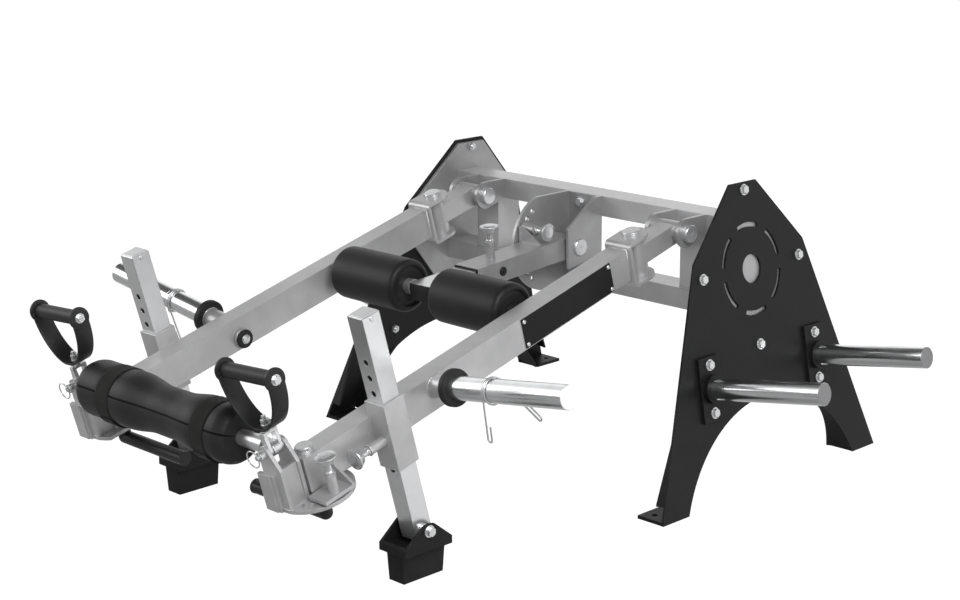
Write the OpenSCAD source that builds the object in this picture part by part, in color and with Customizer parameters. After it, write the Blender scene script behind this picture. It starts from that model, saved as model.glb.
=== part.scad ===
// Deadlift machine: two plate-loaded lever arms on a splayed rear frame.
// +X is to the machine's right, +Y to its rear and +Z up. The floor is Z = 0.
// Inside the machine frame Y = 0 is the centre line of the side plates.

/* [Side plates] */
// Half the width over the side plates at the floor
foot_x = 568; // [540:2:600]
// Outward splay of each side plate in degrees
plate_splay = 9.75; // [8:0.25:12]
// Thickness of a side plate
plate_t = 6; // [5:0.5:8]
// Height of a side plate, measured up the plate
plate_h = 708; // [700:2:730]
// Half the width of its top edge
plate_top_y = 48; // [40:2:56]
// Height of its shoulders, measured up the plate
shoulder_h = 548; // [540:2:560]
// Half its width at the shoulders
shoulder_y = 203; // [196:1:215]
// Half its width at the floor
foot_out_y = 406; // [390:2:430]
// Half the span of the arch at the floor
foot_in_y = 315; // [300:1:325]
// Height of the arch, measured up the plate
arch_h = 209; // [195:1:215]
// Depth of the folded edge on the arch side of a leg
arch_fold = 72; // [60:1:74]
// Depth of the folded edge on the outer side of a leg
edge_fold = 28; // [20:1:34]
// Height where the fold on the arch side ends
fold_top = 179; // [170:1:190]
// Height where the fold on the outer side ends
edge_top = 211; // [200:1:220]
// Length of a foot tab, inward
tab_len = 75; // [65:1:85]
// Thickness of a foot tab
tab_t = 8; // [6:1:10]
// Radius of the anchor hole in each foot tab
anchor_r = 7; // [5:0.5:8]

/* [Plate cut-outs] */
// Height of the centre of the cut-outs, up the plate
ring_h = 507; // [500:1:515]
// Outer radius of the ring of slots
ring_r = 108; // [100:1:114]
// Width of each slot
ring_slot = 11; // [8:1:14]
// Number of slots round the ring
ring_count = 6; // [5:1:8]
// Radius of the round centre hole
ring_hole_r = 34; // [20:1:50]

/* [End plates] */
// Thickness of an end plate
end_t = 8; // [6:1:10]
// Inset of an end plate from the side plate's edge
end_inset = 7; // [4:1:10]
// Height of the end plate's lowest point, up the plate
end_low = 285; // [270:1:300]

/* [Cross beams] */
// Depth of the beams, front to back
beam_d = 76; // [70:1:84]
// Height of each beam
beam_h = 50; // [44:1:54]
// Top of the upper beam
beam_top = 617; // [612:1:624]
// Bottom of the lower beam
beam_low = 380; // [372:1:390]
// Wall of the beams and uprights
beam_wall = 4; // [3:0.5:6]
// Half the distance between the uprights
upright_in = 300; // [292:1:308]
// Width of an upright
upright_w = 75; // [66:1:80]

/* [Storage horns] */
// Distance of each horn from the plate's centre line
store_y = 199; // [190:1:205]
// Height of each horn, up the plate
store_h = 265.6; // [258:0.2:274]
// Length of a storage horn from the plate's outer face
store_len = 314; // [280:1:340]
// Radius of the plate horns, for weights with a 50 mm hole
horn_r = 25; // [24:0.1:25.4]
// Wall of the plate horns
horn_wall = 4; // [3:0.5:6]
// Width of a bracket plate
bracket_w = 71; // [68:1:76]
// Height of a bracket plate
bracket_h = 148; // [144:1:156]
// Thickness of a bracket plate
bracket_t = 8; // [6:1:10]
// Length of the collar on a bracket plate
collar_len = 14; // [10:1:20]
// Step from a storage horn down to its root in the collar
root_step = 1; // [0.5:0.5:2]
// Distance between the two bolts of a bracket
bracket_pitch = 110; // [106:1:112]

/* [Fasteners] */
// Radius of the frame bolts
bolt_r = 6; // [5:0.5:8]
// Radius of a frame washer
washer_r = 13; // [12:0.5:14]
// Height of a bolt head
head_h = 6; // [5:0.5:8]

/* [Lift pivot] */
// Distance of each lever arm from the centre
arm_x = 326; // [322:1:330]
// Height of the lift pivot
lift_z = 583; // [579:1:586]
// Distance of the lift pivot ahead of the beam
lift_reach = 68; // [64:1:76]
// Width over the two ears of a clevis
clevis_w = 100; // [96:1:104]
// Thickness of an ear
ear_t = 10; // [8:1:12]
// Radius of the pivot pins
pin_r = 12.5; // [11:0.5:13]
// Radius of a pin's cap
cap_r = 21; // [20:0.5:22]
// Thickness of a pin's cap
cap_t = 13; // [10:1:15]
// Radial clearance of a turning pin
run_gap = 0.05; // [0.03:0.01:0.1]
// Gap between faces that move past each other
side_gap = 0.3; // [0.25:0.05:0.4]
// Radius of the cross tube on a lift link
cross_r = 24; // [20:0.5:26]
// Width of a lift link
link_w = 50; // [44:1:54]
// Height of a lift link
link_h = 46; // [40:1:50]

/* [Lever arms] */
// Downward pitch of the arms in degrees
arm_pitch = 15.5; // [15:0.1:16]
// Distance from the lift pivot to the swing pin
swing_a = 131; // [126:1:136]
// Radius of the swing barrel
barrel_r = 25; // [23:0.5:27]
// Distance from the lift pivot to the bracket's web
web_a = 176; // [172:1:182]
// Thickness of the bracket
web_t = 8; // [6:1:9]
// Width of the bracket
cheek_w = 74; // [70:1:76]
// Height of the bracket's top face above the arm's centre
cheek_top = 49.5; // [47:0.5:52]
// Depth of the bracket's lower face below the arm's centre
cheek_low = 58; // [56:0.5:60]
// Width of the arm tube
arm_w = 52; // [48:1:54]
// Height of the arm tube
arm_h = 75; // [72:1:78]
// Wall of the arm tube
arm_wall = 4; // [3:0.5:6]
// Distance from the lift pivot to the head's swivel pin
swivel_a = 1139; // [1134:1:1144]

/* [Name panel] */
// Start of the plain panel along the arm
panel_a = 245; // [235:1:255]
// Length of the panel
panel_len = 293; // [260:1:300]
// Height of the panel
panel_h = 68; // [60:1:70]
// Thickness of the panel
panel_t = 2.5; // [2:0.5:4]

/* [Lever horns] */
// Place of the lever horn along the arm
lever_a = 803; // [790:1:812]
// Its height above the arm's centre
lever_c = 12; // [8:1:14]
// Its upward tilt in degrees
lever_tilt = 9.5; // [8:0.5:11]
// Its length from the arm's face
lever_len = 391; // [360:1:410]
// Length of its boss on the arm
boss_len = 50; // [42:1:56]
// Radius of its boss
boss_r = 24; // [22:0.5:24.5]
// Radius of the rubber stop ring
ring_stop_r = 39.5; // [34:0.5:42]
// Thickness of the rubber stop ring
ring_stop_t = 16; // [10:1:18]
// Radius of the bumper on the inner face
bumper_r = 22; // [18:1:26]
// Thickness of the steel spacer under the bumper
bumper_seat = 9; // [6:0.5:12]
// Thickness of the bumper's rubber ring
bumper_len = 7; // [6:0.5:9]
// Place of the spring clip along the horn
clip_x = 172; // [150:1:210]
// Depth of the shallow seat under the spring clip
clip_seat = 0.5; // [0.4:0.1:1]
// Wire radius of the spring clip
clip_wire = 2; // [1.6:0.1:2.4]
// Turns of the spring clip over the top of the horn
clip_turns = 2; // [2:1:3]
// Length of each leg of the spring clip
clip_leg = 106; // [90:1:112]
// Width of the hairpin that ends each leg
clip_pin_w = 11; // [10:0.5:14]
// Length of that hairpin
clip_pin_len = 38; // [28:1:42]

/* [Height posts] */
// Place of the post's centre along the arm
post_a = 961; // [955:1:967]
// Width of the post
post_w = 45; // [43:0.5:47]
// Wall of the post
post_wall = 4; // [3:0.5:5]
// Wall of the sleeve
sleeve_wall = 5; // [4:0.5:6]
// Clearance between the post and its sleeve
post_gap = 0.5; // [0.4:0.05:0.8]
// Height of the sleeve
sleeve_h = 150; // [140:1:156]
// Height of the post's top above the arm's centre
post_top = 267; // [255:1:275]
// Depth of the stop screws below the post's top
stop_drop = 11; // [10:0.5:12]
// Radius of the stop screws' heads
stop_r = 4.5; // [4:0.25:5]
// Depth of the post's foot bolt below the arm's centre
post_foot = 228.5; // [228:0.1:229]
// Pitch of the holes in the post
hole_pitch = 35; // [33:1:37]
// Radius of the holes in the post
hole_r = 7; // [6.5:0.25:7.5]
// Height of the sleeve's pin above the arm's centre
post_pin_c = -10; // [-14:1:-6]

/* [Boots] */
// Length of a boot at the floor
boot_len = 117; // [105:1:122]
// Width of a boot at the floor
boot_w = 44; // [40:1:50]
// Width of a boot at its bolt
boot_top_w = 80; // [72:0.5:84]
// Height of the boot's block
boot_h = 60; // [52:1:64]
// Length over the two wings
wing_len = 130; // [124:1:140]
// Depth of the wing's edge
wing_t = 20; // [16:1:22]
// Thickness of the plates beside the post
gable_t = 5; // [4:0.5:6]

/* [Heads] */
// Gap between the two cheeks of a head
head_gap = 36; // [34:1:38]
// Thickness of a cheek
head_t = 8; // [7:0.5:9]
// Distance from the swivel pin to the rear cheek
head_a = 29; // [28:0.5:32]
// Step from a cheek's edge back to the plate that joins the cheeks
head_step = 5; // [3:0.5:6]
// Gap between the lever arm's front end and the rear cheek
arm_end_gap = 3; // [2:0.5:5]
// Half the width of a head at its lower left
head_left = 45; // [43:1:47]
// Width of a head to the right of the arm's centre
head_right = 20; // [18:1:22]
// Side offset of the pin that holds the padded bar
lock_x = -18; // [-20:1:-16]
// Height of that pin above the arm's centre
lock_c = 69; // [67:1:71]
// Radius of that pin
lock_r = 6; // [5:0.5:6.5]
// Width of the ledge that carries a head's pop pin
ledge_w = 55; // [50:1:60]
// Length of that ledge along the arm
ledge_len = 77; // [70:1:80]
// Radius of the swivel pin's cap
swivel_cap_r = 18; // [16:0.5:20]
// Radius of the index disc
disc_r = 82; // [80:1:84]
// Radius of the circle of index holes
disc_hole_r = 63; // [61:1:65]
// Angle between the index holes in degrees
disc_step = 22; // [20:1:24]
// Radius of the grip bar
grip_r = 15; // [13:0.5:16]
// Depth of the grip bar below the arm's centre
grip_c = 101; // [97:1:106]
// Length of the grip bar
grip_len = 235; // [215:1:245]

/* [Pop pins] */
// Radius of a pop pin's barrel
pop_barrel_r = 11; // [10:0.5:12]
// Height of a pop pin's barrel
pop_barrel_h = 36; // [30:1:38]
// Radius of a pop pin's plunger
pop_r = 6; // [5:0.25:6.25]
// Height from its seat to the top of the knob
pop_h = 82; // [76:1:86]
// Radius of the knob
pop_knob_r = 22; // [19:0.5:23]

/* [Padded bar] */
// Radius of the bar
bar_r = 17; // [16:0.5:17.5]
// Thickness of the bar's eyes
eye_t = 18; // [16:0.5:19]
// Gap between the left head and the pad
pad_gap = 9; // [6:0.5:12]
// Bare length of the bar between the pad and the right head
bare_len = 71; // [60:1:80]
// Radius of the pad's lobes
pad_r = 62; // [58:0.5:64]
// Radius of the pad's waist
waist_r = 51.5; // [48:0.5:54]
// Radius of the pad's end faces
pad_end_r = 46; // [42:0.5:50]
// Width of a strap
strap_w = 45; // [40:1:52]
// Thickness of a strap
strap_t = 1.5; // [1:0.1:2]

/* [D-handles] */
// Lean of a D-handle to the left in degrees
handle_lean = 4.5; // [3:0.25:6]
// Distance from the bar's pin to the middle of the strap's foot
handle_foot = 50; // [48:0.5:52]
// Half the length of the strap's flat foot
foot_half = 11; // [10.5:0.5:14]
// Distance from the pin to the turning grip
grip_up = 161; // [156:1:165]
// Half the width over the two ears
ear_out = 81; // [77:1:84]
// Radius of an ear
ear_r = 24; // [22:0.5:25]
// Width of the strap
handle_w = 40; // [36:1:42]
// Thickness of the strap
handle_t = 5; // [4:0.5:6]
// Radius of the turning grip
turn_r = 16; // [14:0.5:17]
// Radius of the bolts of a D-handle
small_bolt_r = 5; // [4:0.25:5.5]

/* [Centre arm] */
// Height of the centre arm's pivot
mid_z = 502; // [498:1:506]
// Distance of that pivot ahead of the beam
mid_reach = 79; // [76:1:82]
// Downward pitch of the centre arm in degrees
mid_pitch = 4.5; // [3:0.1:6]
// Width of the centre arm
mid_w = 76; // [74:1:78]
// Height of the centre arm
mid_h = 50; // [48:1:52]
// Wall of the centre arm
mid_wall = 5; // [4:0.5:6]
// Length of the centre arm from its pivot
mid_len = 330; // [320:1:336]
// Distance from the mouth of the centre arm back to its pin
mid_pin_back = 80; // [74:1:86]
// Radius of the arc plate
arc_r = 123; // [120:1:126]
// Depth of the arc plate's rear edge below the pivot
arc_tail = 100; // [94:1:106]
// Radius of the circle of index holes
arc_hole_r = 101; // [99:1:103]
// Angle between two index holes in degrees
arc_step = 14; // [13:0.5:15]
// Direction of the index knob from the pivot in degrees
knob_angle = 152.4; // [150:0.2:155]
// Depth of the centre bracket below the lower beam's top
bracket_drop = 30; // [26:1:36]
// Thickness of the bracket's plates
mid_plate_t = 8; // [6:1:9]
// Outer face of the arc plate, left of the centre
arc_x = 58; // [56:1:60]
// Outer face of the pivot plate, right of the centre
pivot_x = 54; // [53:1:57]
// Distance from the pivot to the front edge of the pivot plate
cheek_front = 43; // [40:1:46]
// Distance from the pivot to the rear end of the pivot plate's slope
cheek_back = 53; // [50:1:56]
// Half-height of the pivot plate's front edge
cheek_half = 49; // [46:1:52]
// Depth of the pivot plate's rear edge below the pivot
cheek_tail = 30; // [26:1:34]
// Length of the inner tube inside the centre arm
inner_in = 190; // [180:1:200]
// Length of the inner tube's solid front end
block_len = 52; // [46:1:56]
// Length of the inner tube ahead of the centre arm
inner_out = 150; // [140:1:156]
// Radius of a foam roller
roller_r = 62; // [58:0.5:64]
// Length of a foam roller
roller_len = 216; // [205:1:218]
// Gap between the rollers' inner ends
roller_gap = 114; // [110:1:118]
// Radius of a roller's rounded shoulders
shoulder_r = 12; // [10:1:14]
// Radius of the roller axle
axle_r = 10; // [8:0.5:12]

/* [Hidden] */
$fn = 48;
beam_front = -beam_d / 2;
lift_y = beam_front - lift_reach;
mid_y = beam_front - mid_reach;
beam_base = beam_top - beam_h;
lower_top = beam_low + beam_h;
end_x = -plate_t - end_t;
clevis_in = clevis_w / 2 - ear_t;
clevis_r = beam_top - lift_z;
arm_out = arm_w / 2;
sleeve_w = post_w + 2 * (post_gap + sleeve_wall);
post_x = arm_out + sleeve_w / 2;
sleeve_front = post_a + sleeve_w / 2;
lock_a = swivel_a + head_a + head_t + head_gap / 2;
head_back = swivel_a + head_a;
head_front = head_back + 2 * head_t + head_gap;
disc_top = -cheek_low + web_t;
tab_top = disc_top + 12;
tab_base = disc_top + 4;
front_y = lift_y - lock_a * cos(arm_pitch) - lock_c * sin(arm_pitch);
bar_z = lift_z - lock_a * sin(arm_pitch) + lock_c * cos(arm_pitch);
post_y = lift_y - post_a * cos(arm_pitch) + post_foot * sin(arm_pitch);
boot_z = lift_z - post_a * sin(arm_pitch) - post_foot * cos(arm_pitch);
handle_reach = grip_up * cos(handle_lean) * sin(arm_pitch) + ear_r;
shift_y = (max(pad_r + strap_t, handle_reach) - front_y - foot_out_y) / 2;
cut = 1;
big = 2000;

// Frames

module machine() translate([0, shift_y, 0]) children();

// Mirrors to the left when s is -1
module side(s) {
  if (s < 0) mirror([1, 0, 0]) children();
  else children();
}

// x points out of the side plate, y to the rear and z up the plate
module on_plate(s) side(s) translate([foot_x, 0, 0]) rotate([0, -plate_splay, 0]) children();

// x points to the side, -y along the lever arm and z up from it
module arm_frame(s) translate([s * arm_x, lift_y, lift_z]) rotate([arm_pitch, 0, 0]) children();

// The same, with x pointing outward on both sides
module arm_side(s) arm_frame(s) side(s) children();

// x points out along the lever horn
module horn_frame() translate([arm_out, -lever_a, lever_c]) rotate([0, -lever_tilt, 0]) children();

// -y points along the centre arm
module mid_frame() translate([0, mid_y, mid_z]) rotate([mid_pitch, 0, 0]) children();

// Centred on the pin that holds the padded bar, axes along the machine's
module at_lock(s) translate([s * arm_x + lock_x, front_y, bar_z]) children();

// The same, turned so that -y runs along the pin
module on_lock(s) at_lock(s) rotate([arm_pitch, 0, 0]) children();

// The same, with z up the D-handle's swivel
module on_swivel(s) on_lock(s) rotate([0, -handle_lean, 0]) children();

// Shapes

// A box given by its low and high corners
module block(lo, hi) translate(lo) cube(hi - lo);

// The same along the arm: a is measured forward
module arm_block(x, a, c) block([x[0], -a[1], c[0]], [x[1], -a[0], c[1]]);

// Extrudes a (y, z) outline along +x
module slab(t) rotate([90, 0, 90]) linear_extrude(t) children();

// Extrudes an (x, z) outline forward along -y, from a0 on
module sheet(a0, t) translate([0, -a0, 0]) rotate([90, 0, 0]) linear_extrude(t) children();

module rod_x(r, x0, x1) translate([x0, 0, 0]) rotate([0, 90, 0]) cylinder(r = r, h = x1 - x0);

module rod_z(r, z0, z1) translate([0, 0, z0]) cylinder(r = r, h = z1 - z0);

module rod_a(r, a0, a1) translate([0, -a0, 0]) rotate([90, 0, 0]) cylinder(r = r, h = a1 - a0);

// Washer, hexagon head and shank pointing down from z = 0
module bolt(r, wr, wt, hh, len) {
  rod_z(wr, 0, wt);
  translate([0, 0, wt]) cylinder(r = wr * 0.78, h = hh, $fn = 6);
  rod_z(r, -len, 0);
}

// A pin's round cap with a chamfered rim and a centre dimple, z = 0 at its seat
module cap(r, t) rotate_extrude() polygon([[0, 0], [r, 0], [r, t - 1.5], [r - 1.5, t],
  [2.5, t], [2, t - 1], [0, t - 1]]);

// Barrel and nut of a pop pin, z = 0 at its seat
module pop_barrel(under) difference() {
  union() {
    rod_z(pop_barrel_r, 0, pop_barrel_h);
    translate([0, 0, pop_barrel_h]) cylinder(r = pop_barrel_r * 1.12, h = 5, $fn = 6);
  }
  rod_z(pop_r + run_gap, -under, pop_h);
}

// Plunger, neck and knob of a pop pin
module pop_plunger(tip) {
  rod_z(pop_r, -tip, pop_h - 10);
  translate([0, 0, pop_barrel_h + 5 + side_gap]) rotate_extrude() polygon([[0, 0], [9, 0], [9, 4],
    [7.5, 6], [7.5, 20], [pop_knob_r * 0.7, 23], [pop_knob_r, pop_h - pop_barrel_h - 10],
    [pop_knob_r - 0.5, pop_h - pop_barrel_h - 8], [pop_knob_r * 0.6, pop_h - pop_barrel_h - 5.8],
    [0, pop_h - pop_barrel_h - 5.3]]);
}

// Low and high end of a stretch, from its middle and from its low end
function about(mid, width) = [mid - width / 2, mid + width / 2];
function from(low, length) = [low, low + length];

// Points along a cubic curve
function bez(p, t) = (1 - t) ^ 3 * p[0] + 3 * (1 - t) ^ 2 * t * p[1] + 3 * (1 - t) * t ^ 2 * p[2]
  + t ^ 3 * p[3];
function along(p, i) = p[min(i + 1, len(p) - 1)] - p[max(i - 1, 0)];
function offset_line(p, d) = [for (i = [0:len(p) - 1]) let (v = along(p, i))
  p[i] + d * [v[1], -v[0]] / norm(v)];
// Closed outline of a strip of thickness t along a line
function strip(p, t) = concat(offset_line(p, t / 2),
  [for (i = [len(p) - 1:-1:0]) offset_line(p, -t / 2)[i]]);

// Rings of a round wire swept along points, and the tube round them
function wire_dir(p, i) = let (v = along(p, i)) v / norm(v);
function wire_side(v) = let (u = cross(v, abs(v[0]) < 0.9 ? [1, 0, 0] : [0, 1, 0])) u / norm(u);
function wire_rings(p, r, n) = [for (i = [0:len(p) - 1]) let (v = wire_dir(p, i),
  u = wire_side(v), w = cross(v, u)) for (k = [0:n - 1])
  p[i] + r * (cos(360 * k / n) * u + sin(360 * k / n) * w)];
module wire(p, r, n) {
  m = len(p);
  quads = [for (i = [0:m - 2], k = [0:n - 1]) let (a = i * n + k, b = i * n + (k + 1) % n)
    each [[a, b, b + n], [a, b + n, a + n]]];
  caps = [for (k = [1:n - 2]) each [[0, k + 1, k],
    [(m - 1) * n, (m - 1) * n + k, (m - 1) * n + k + 1]]];
  polyhedron(wire_rings(p, r, n), concat(quads, caps));
}

// Side plates, end plates and beams

// Outline of a plate, drawn in by d, with its arch left out
function plate_top(d) = [[plate_top_y - d * 0.6, plate_h - d], [shoulder_y - d, shoulder_h - d * 0.4]];

arch_c = arch_h - (foot_in_y ^ 2 + arch_h ^ 2) / (2 * arch_h);
arch_r = arch_h - arch_c;

module ring_cut() translate([0, ring_h]) {
  circle(r = ring_hole_r);
  for (i = [0:ring_count - 1]) rotate(i * 360 / ring_count) slot_arc();
}

// One slot of the ring
module slot_arc() {
  half = 180 / ring_count - 9;
  intersection() {
    difference() {
      circle(r = ring_r, $fn = 96);
      circle(r = ring_r - ring_slot, $fn = 96);
    }
    polygon([[0, 0], 2 * ring_r * [sin(half), cos(half)], [0, 2 * ring_r],
      2 * ring_r * [-sin(half), cos(half)]]);
  }
}

plate_bolts = [[0, plate_h - 18], [shoulder_y - 24, shoulder_h - 37], [24 - shoulder_y, shoulder_h - 37],
  [0, end_low + 45]];

module bolt_cuts() for (p = plate_bolts) translate(p) circle(r = bolt_r + 0.1);

module side_sheet() difference() {
  polygon(concat([for (p = plate_top(0)) p],
    [[foot_out_y, 0], [foot_out_y, -9], [-foot_out_y, -9], [-foot_out_y, 0]],
    [for (i = [1:-1:0]) [-plate_top(0)[i][0], plate_top(0)[i][1]]]));
  ring_cut();
  bolt_cuts();
  for (k = [-1, 1], j = [-1, 1]) translate([k * store_y, store_h + j * bracket_pitch / 2])
    circle(r = bolt_r + 0.1);
}

// Folded edge along the arch, deepest near the floor, before the arch is cut
module arch_edge() intersection() {
  translate([0, 0, arch_c]) rod_x(arch_r + plate_t, -arch_fold, -plate_t / 2);
  translate([0, big / 2, 0]) rotate([90, 0, 0]) linear_extrude(big)
    polygon([[cut, tab_t + 5], [-arch_fold - cut, tab_t + 5], [-16, fold_top - 51], [cut, fold_top]]);
}

// Folded edge along the outside of the leg k, deepest near the floor
module outer_edge(k) intersection() {
  translate([-edge_fold, 0, 0]) slab(edge_fold) polygon([k * [shoulder_y, 0] + [0, shoulder_h],
    [k * foot_out_y, 0], [k * (foot_out_y - plate_t), 0], k * [shoulder_y - plate_t, 0] + [0, shoulder_h]]);
  translate([0, big / 2, 0]) rotate([90, 0, 0]) linear_extrude(big)
    polygon([[cut, 40], [-edge_fold - cut, 40], [cut, edge_top]]);
}

module foot_tab(k) difference() {
  block([foot_x - tab_len, min(k * (foot_in_y + 1), k * (foot_out_y - 1)), 0],
    [foot_x - plate_t / 2, max(k * (foot_in_y + 1), k * (foot_out_y - 1)), tab_t]);
  translate([foot_x - tab_len * 0.63, k * (foot_out_y - 27), -cut])
    cylinder(r = anchor_r, h = tab_t + 2 * cut);
}

module side_plate(s) color("#26272a") machine() {
  difference() {
    on_plate(s) difference() {
      union() {
        translate([-plate_t, 0, 0]) slab(plate_t) side_sheet();
        arch_edge();
        outer_edge(-1);
        outer_edge(1);
      }
      translate([0, 0, arch_c]) rod_x(arch_r, -big, big);
    }
    block([-big, -big, -50], [big, big, 0]);
  }
  side(s) for (k = [-1, 1]) foot_tab(k);
}

module left_side_plate() side_plate(-1);
module right_side_plate() side_plate(1);

module end_sheet() difference() {
  polygon(concat(plate_top(end_inset), [[shoulder_y - end_inset, shoulder_h - 75], [28, end_low],
    [-28, end_low], [end_inset - shoulder_y, shoulder_h - 75]],
    [for (i = [1:-1:0]) [-plate_top(end_inset)[i][0], plate_top(end_inset)[i][1]]]));
  bolt_cuts();
}

module end_plates() color("#8d9094") machine() for (s = [-1, 1]) on_plate(s)
  translate([end_x, 0, 0]) slab(end_t) end_sheet();

// Everything beyond the inner faces of the end plates
module beyond_ends() for (s = [-1, 1]) on_plate(s)
  block([end_x, -big / 2, -big / 2], [big, big / 2, big]);

module beam(z) difference() {
  block([-foot_x, beam_front, z], [foot_x, -beam_front, z + beam_h]);
  block([-big, beam_front + beam_wall, z + beam_wall],
    [big, -beam_front - beam_wall, z + beam_h - beam_wall]);
  beyond_ends();
}

// Place of the bolt that holds the centre bracket
bracket_bolt = [-10, beam_top - 22];

module cross_beams() color("#8d9094") machine() {
  difference() {
    beam(beam_base);
    translate([bracket_bolt[0], 0, bracket_bolt[1]]) rod_a(bolt_r + 0.1, 0, big);
  }
  beam(beam_low);
}

module uprights() color("#8d9094") machine() for (s = [-1, 1]) side(s) difference() {
  block([upright_in, beam_front, lower_top], [upright_in + upright_w, -beam_front, beam_base]);
  block([upright_in + beam_wall, beam_front + beam_wall, lower_top - cut],
    [upright_in + upright_w - beam_wall, -beam_front - beam_wall, beam_base + cut]);
}

// Places of the bracket bolts on a plate
bracket_bolts = [for (k = [-1, 1], j = [-1, 1]) [k * store_y, store_h + j * bracket_pitch / 2]];

// A bolt through the plate with its nut on the inner side
module plate_bolt(p, out, inside) translate([0, p[0], p[1]]) rotate([0, 90, 0]) {
  translate([0, 0, out]) bolt(bolt_r, washer_r, 2.5, head_h, out + inside + 12);
  translate([0, 0, -inside - 8]) difference() {
    cylinder(r = bolt_r * 1.8, h = 8, $fn = 6);
    translate([0, 0, -cut]) cylinder(r = bolt_r - 0.5, h = 8 + 2 * cut);
  }
}

module frame_bolts() color("silver") machine() {
  for (s = [-1, 1]) on_plate(s) {
    for (p = plate_bolts) plate_bolt(p, 0, plate_t + end_t);
    for (p = bracket_bolts) plate_bolt(p, bracket_t, plate_t);
  }
  translate([bracket_bolt[0], beam_front - mid_plate_t, bracket_bolt[1]]) rotate([90, 0, 0])
    bolt(bolt_r, washer_r, 2.5, head_h, 12);
}

module horn_brackets() color("#26272a") machine() for (s = [-1, 1], k = [-1, 1]) on_plate(s)
  translate([0, k * store_y, store_h]) difference() {
    union() {
      block([0, -bracket_w / 2, -bracket_h / 2], [bracket_t, bracket_w / 2, bracket_h / 2]);
      rod_x(horn_r + 8, 0, bracket_t + collar_len);
    }
    rod_x(horn_r - root_step + run_gap, 2, big);
    for (j = [-1, 1]) translate([0, 0, j * bracket_pitch / 2]) rod_x(bolt_r + 0.1, -cut, big);
  }

// Chrome tube with a closed end, from x0 to x1
module horn_tube(x0, x1) difference() {
  rod_x(horn_r, x0, x1);
  rod_x(horn_r - horn_wall, x0 - cut, x1 - horn_wall);
}

module storage_horns() color("#d8dadd") machine() for (s = [-1, 1], k = [-1, 1]) on_plate(s)
  translate([0, k * store_y, store_h]) {
    horn_tube(bracket_t + collar_len + side_gap, store_len);
    difference() {
      rod_x(horn_r - root_step, 2, bracket_t + collar_len + horn_wall);
      rod_x(horn_r - horn_wall, 0, big);
    }
  }

// Lift pivot

module clevis_sheet() difference() {
  union() {
    translate([lift_y, lift_z]) circle(r = clevis_r);
    polygon([[lift_y, beam_top], [beam_front, beam_top], [beam_front, beam_base],
      [lift_y + clevis_r * sin(25), lift_z - clevis_r * cos(25)], [lift_y, lift_z - clevis_r * 0.9]]);
  }
  translate([lift_y, lift_z]) circle(r = pin_r + run_gap);
}

module lift_clevises() color("#8d9094") machine() for (s = [-1, 1], k = [-1, 1])
  translate([s * arm_x + (k > 0 ? clevis_in : -clevis_w / 2), 0, 0]) slab(ear_t) clevis_sheet();

// A pin along x with a round cap on each end, reaching over half-width w
module capped_pin(w) {
  rod_x(pin_r, -w, w);
  for (k = [-1, 1]) side(k) translate([w, 0, 0]) rotate([0, 90, 0]) cap(cap_r, cap_t);
}

module pivot_pins() color("silver") machine() {
  for (s = [-1, 1]) translate([s * arm_x, lift_y, lift_z]) capped_pin(clevis_w / 2);
  translate([0, mid_y, mid_z]) {
    rod_x(pin_r, -arc_x, pivot_x);
    translate([pivot_x, 0, 0]) rotate([0, 90, 0]) cap(cap_r, 5);
    translate([-arc_x, 0, 0]) rotate([0, -90, 0]) cap(cap_r, 5);
  }
}

module link(s) color("#8d9094") machine() arm_frame(s) difference() {
  union() {
    rod_x(cross_r, side_gap - clevis_in, clevis_in - side_gap);
    arm_block(about(0, link_w), [cross_r / 2, swing_a], about(0, link_h));
    translate([0, -swing_a, 0]) rod_z(barrel_r, side_gap - cheek_low + web_t, cheek_top - web_t - side_gap);
  }
  rod_x(pin_r + run_gap, -big, big);
  translate([0, -swing_a, 0]) rod_z(pin_r + run_gap, -big, big);
}

module left_link() link(-1);
module right_link() link(1);

// Lever arms

// Side view of the C-bracket, y to the rear, with rounded front corners
module cheek_sheet() {
  low = -cheek_low;
  front = web_a + web_t;
  bend = 12;
  difference() {
    union() {
      polygon([[big - front, low], [bend - front, low], [-front, low + bend], [-front, cheek_top - bend],
        [bend - front, cheek_top], [big - front, cheek_top]]);
      for (z = [low + bend, cheek_top - bend]) translate([bend - front, z]) circle(r = bend);
    }
    polygon([[-web_a, low + web_t], [big, low + web_t], [big, cheek_top - web_t],
      [-web_a, cheek_top - web_t]]);
  }
}

module cheeks() intersection() {
  translate([-cheek_w / 2, 0, 0]) slab(cheek_w) cheek_sheet();
  union() {
    translate([0, -swing_a, 0]) rod_z(cheek_w / 2, -big, big);
    arm_block([-cheek_w, cheek_w], [swing_a, big], [-big, big]);
  }
}

module arm_tube() difference() {
  arm_block([-arm_out, arm_out], [web_a + web_t, head_back - arm_end_gap], [-arm_h / 2, arm_h / 2]);
  arm_block([arm_wall - arm_out, arm_out - arm_wall], [web_a + web_t + cut, swivel_a - arm_out],
    [arm_wall - arm_h / 2, arm_h / 2 - arm_wall]);
}

module sleeve() difference() {
  arm_block([arm_out, arm_out + sleeve_w], about(post_a, sleeve_w), about(0, sleeve_h));
  arm_block(about(post_x, sleeve_w - 2 * sleeve_wall), about(post_a, sleeve_w - 2 * sleeve_wall),
    [-big, big]);
  translate([post_x, 0, post_pin_c]) rod_a(pop_r + run_gap, post_a, big);
}

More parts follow.
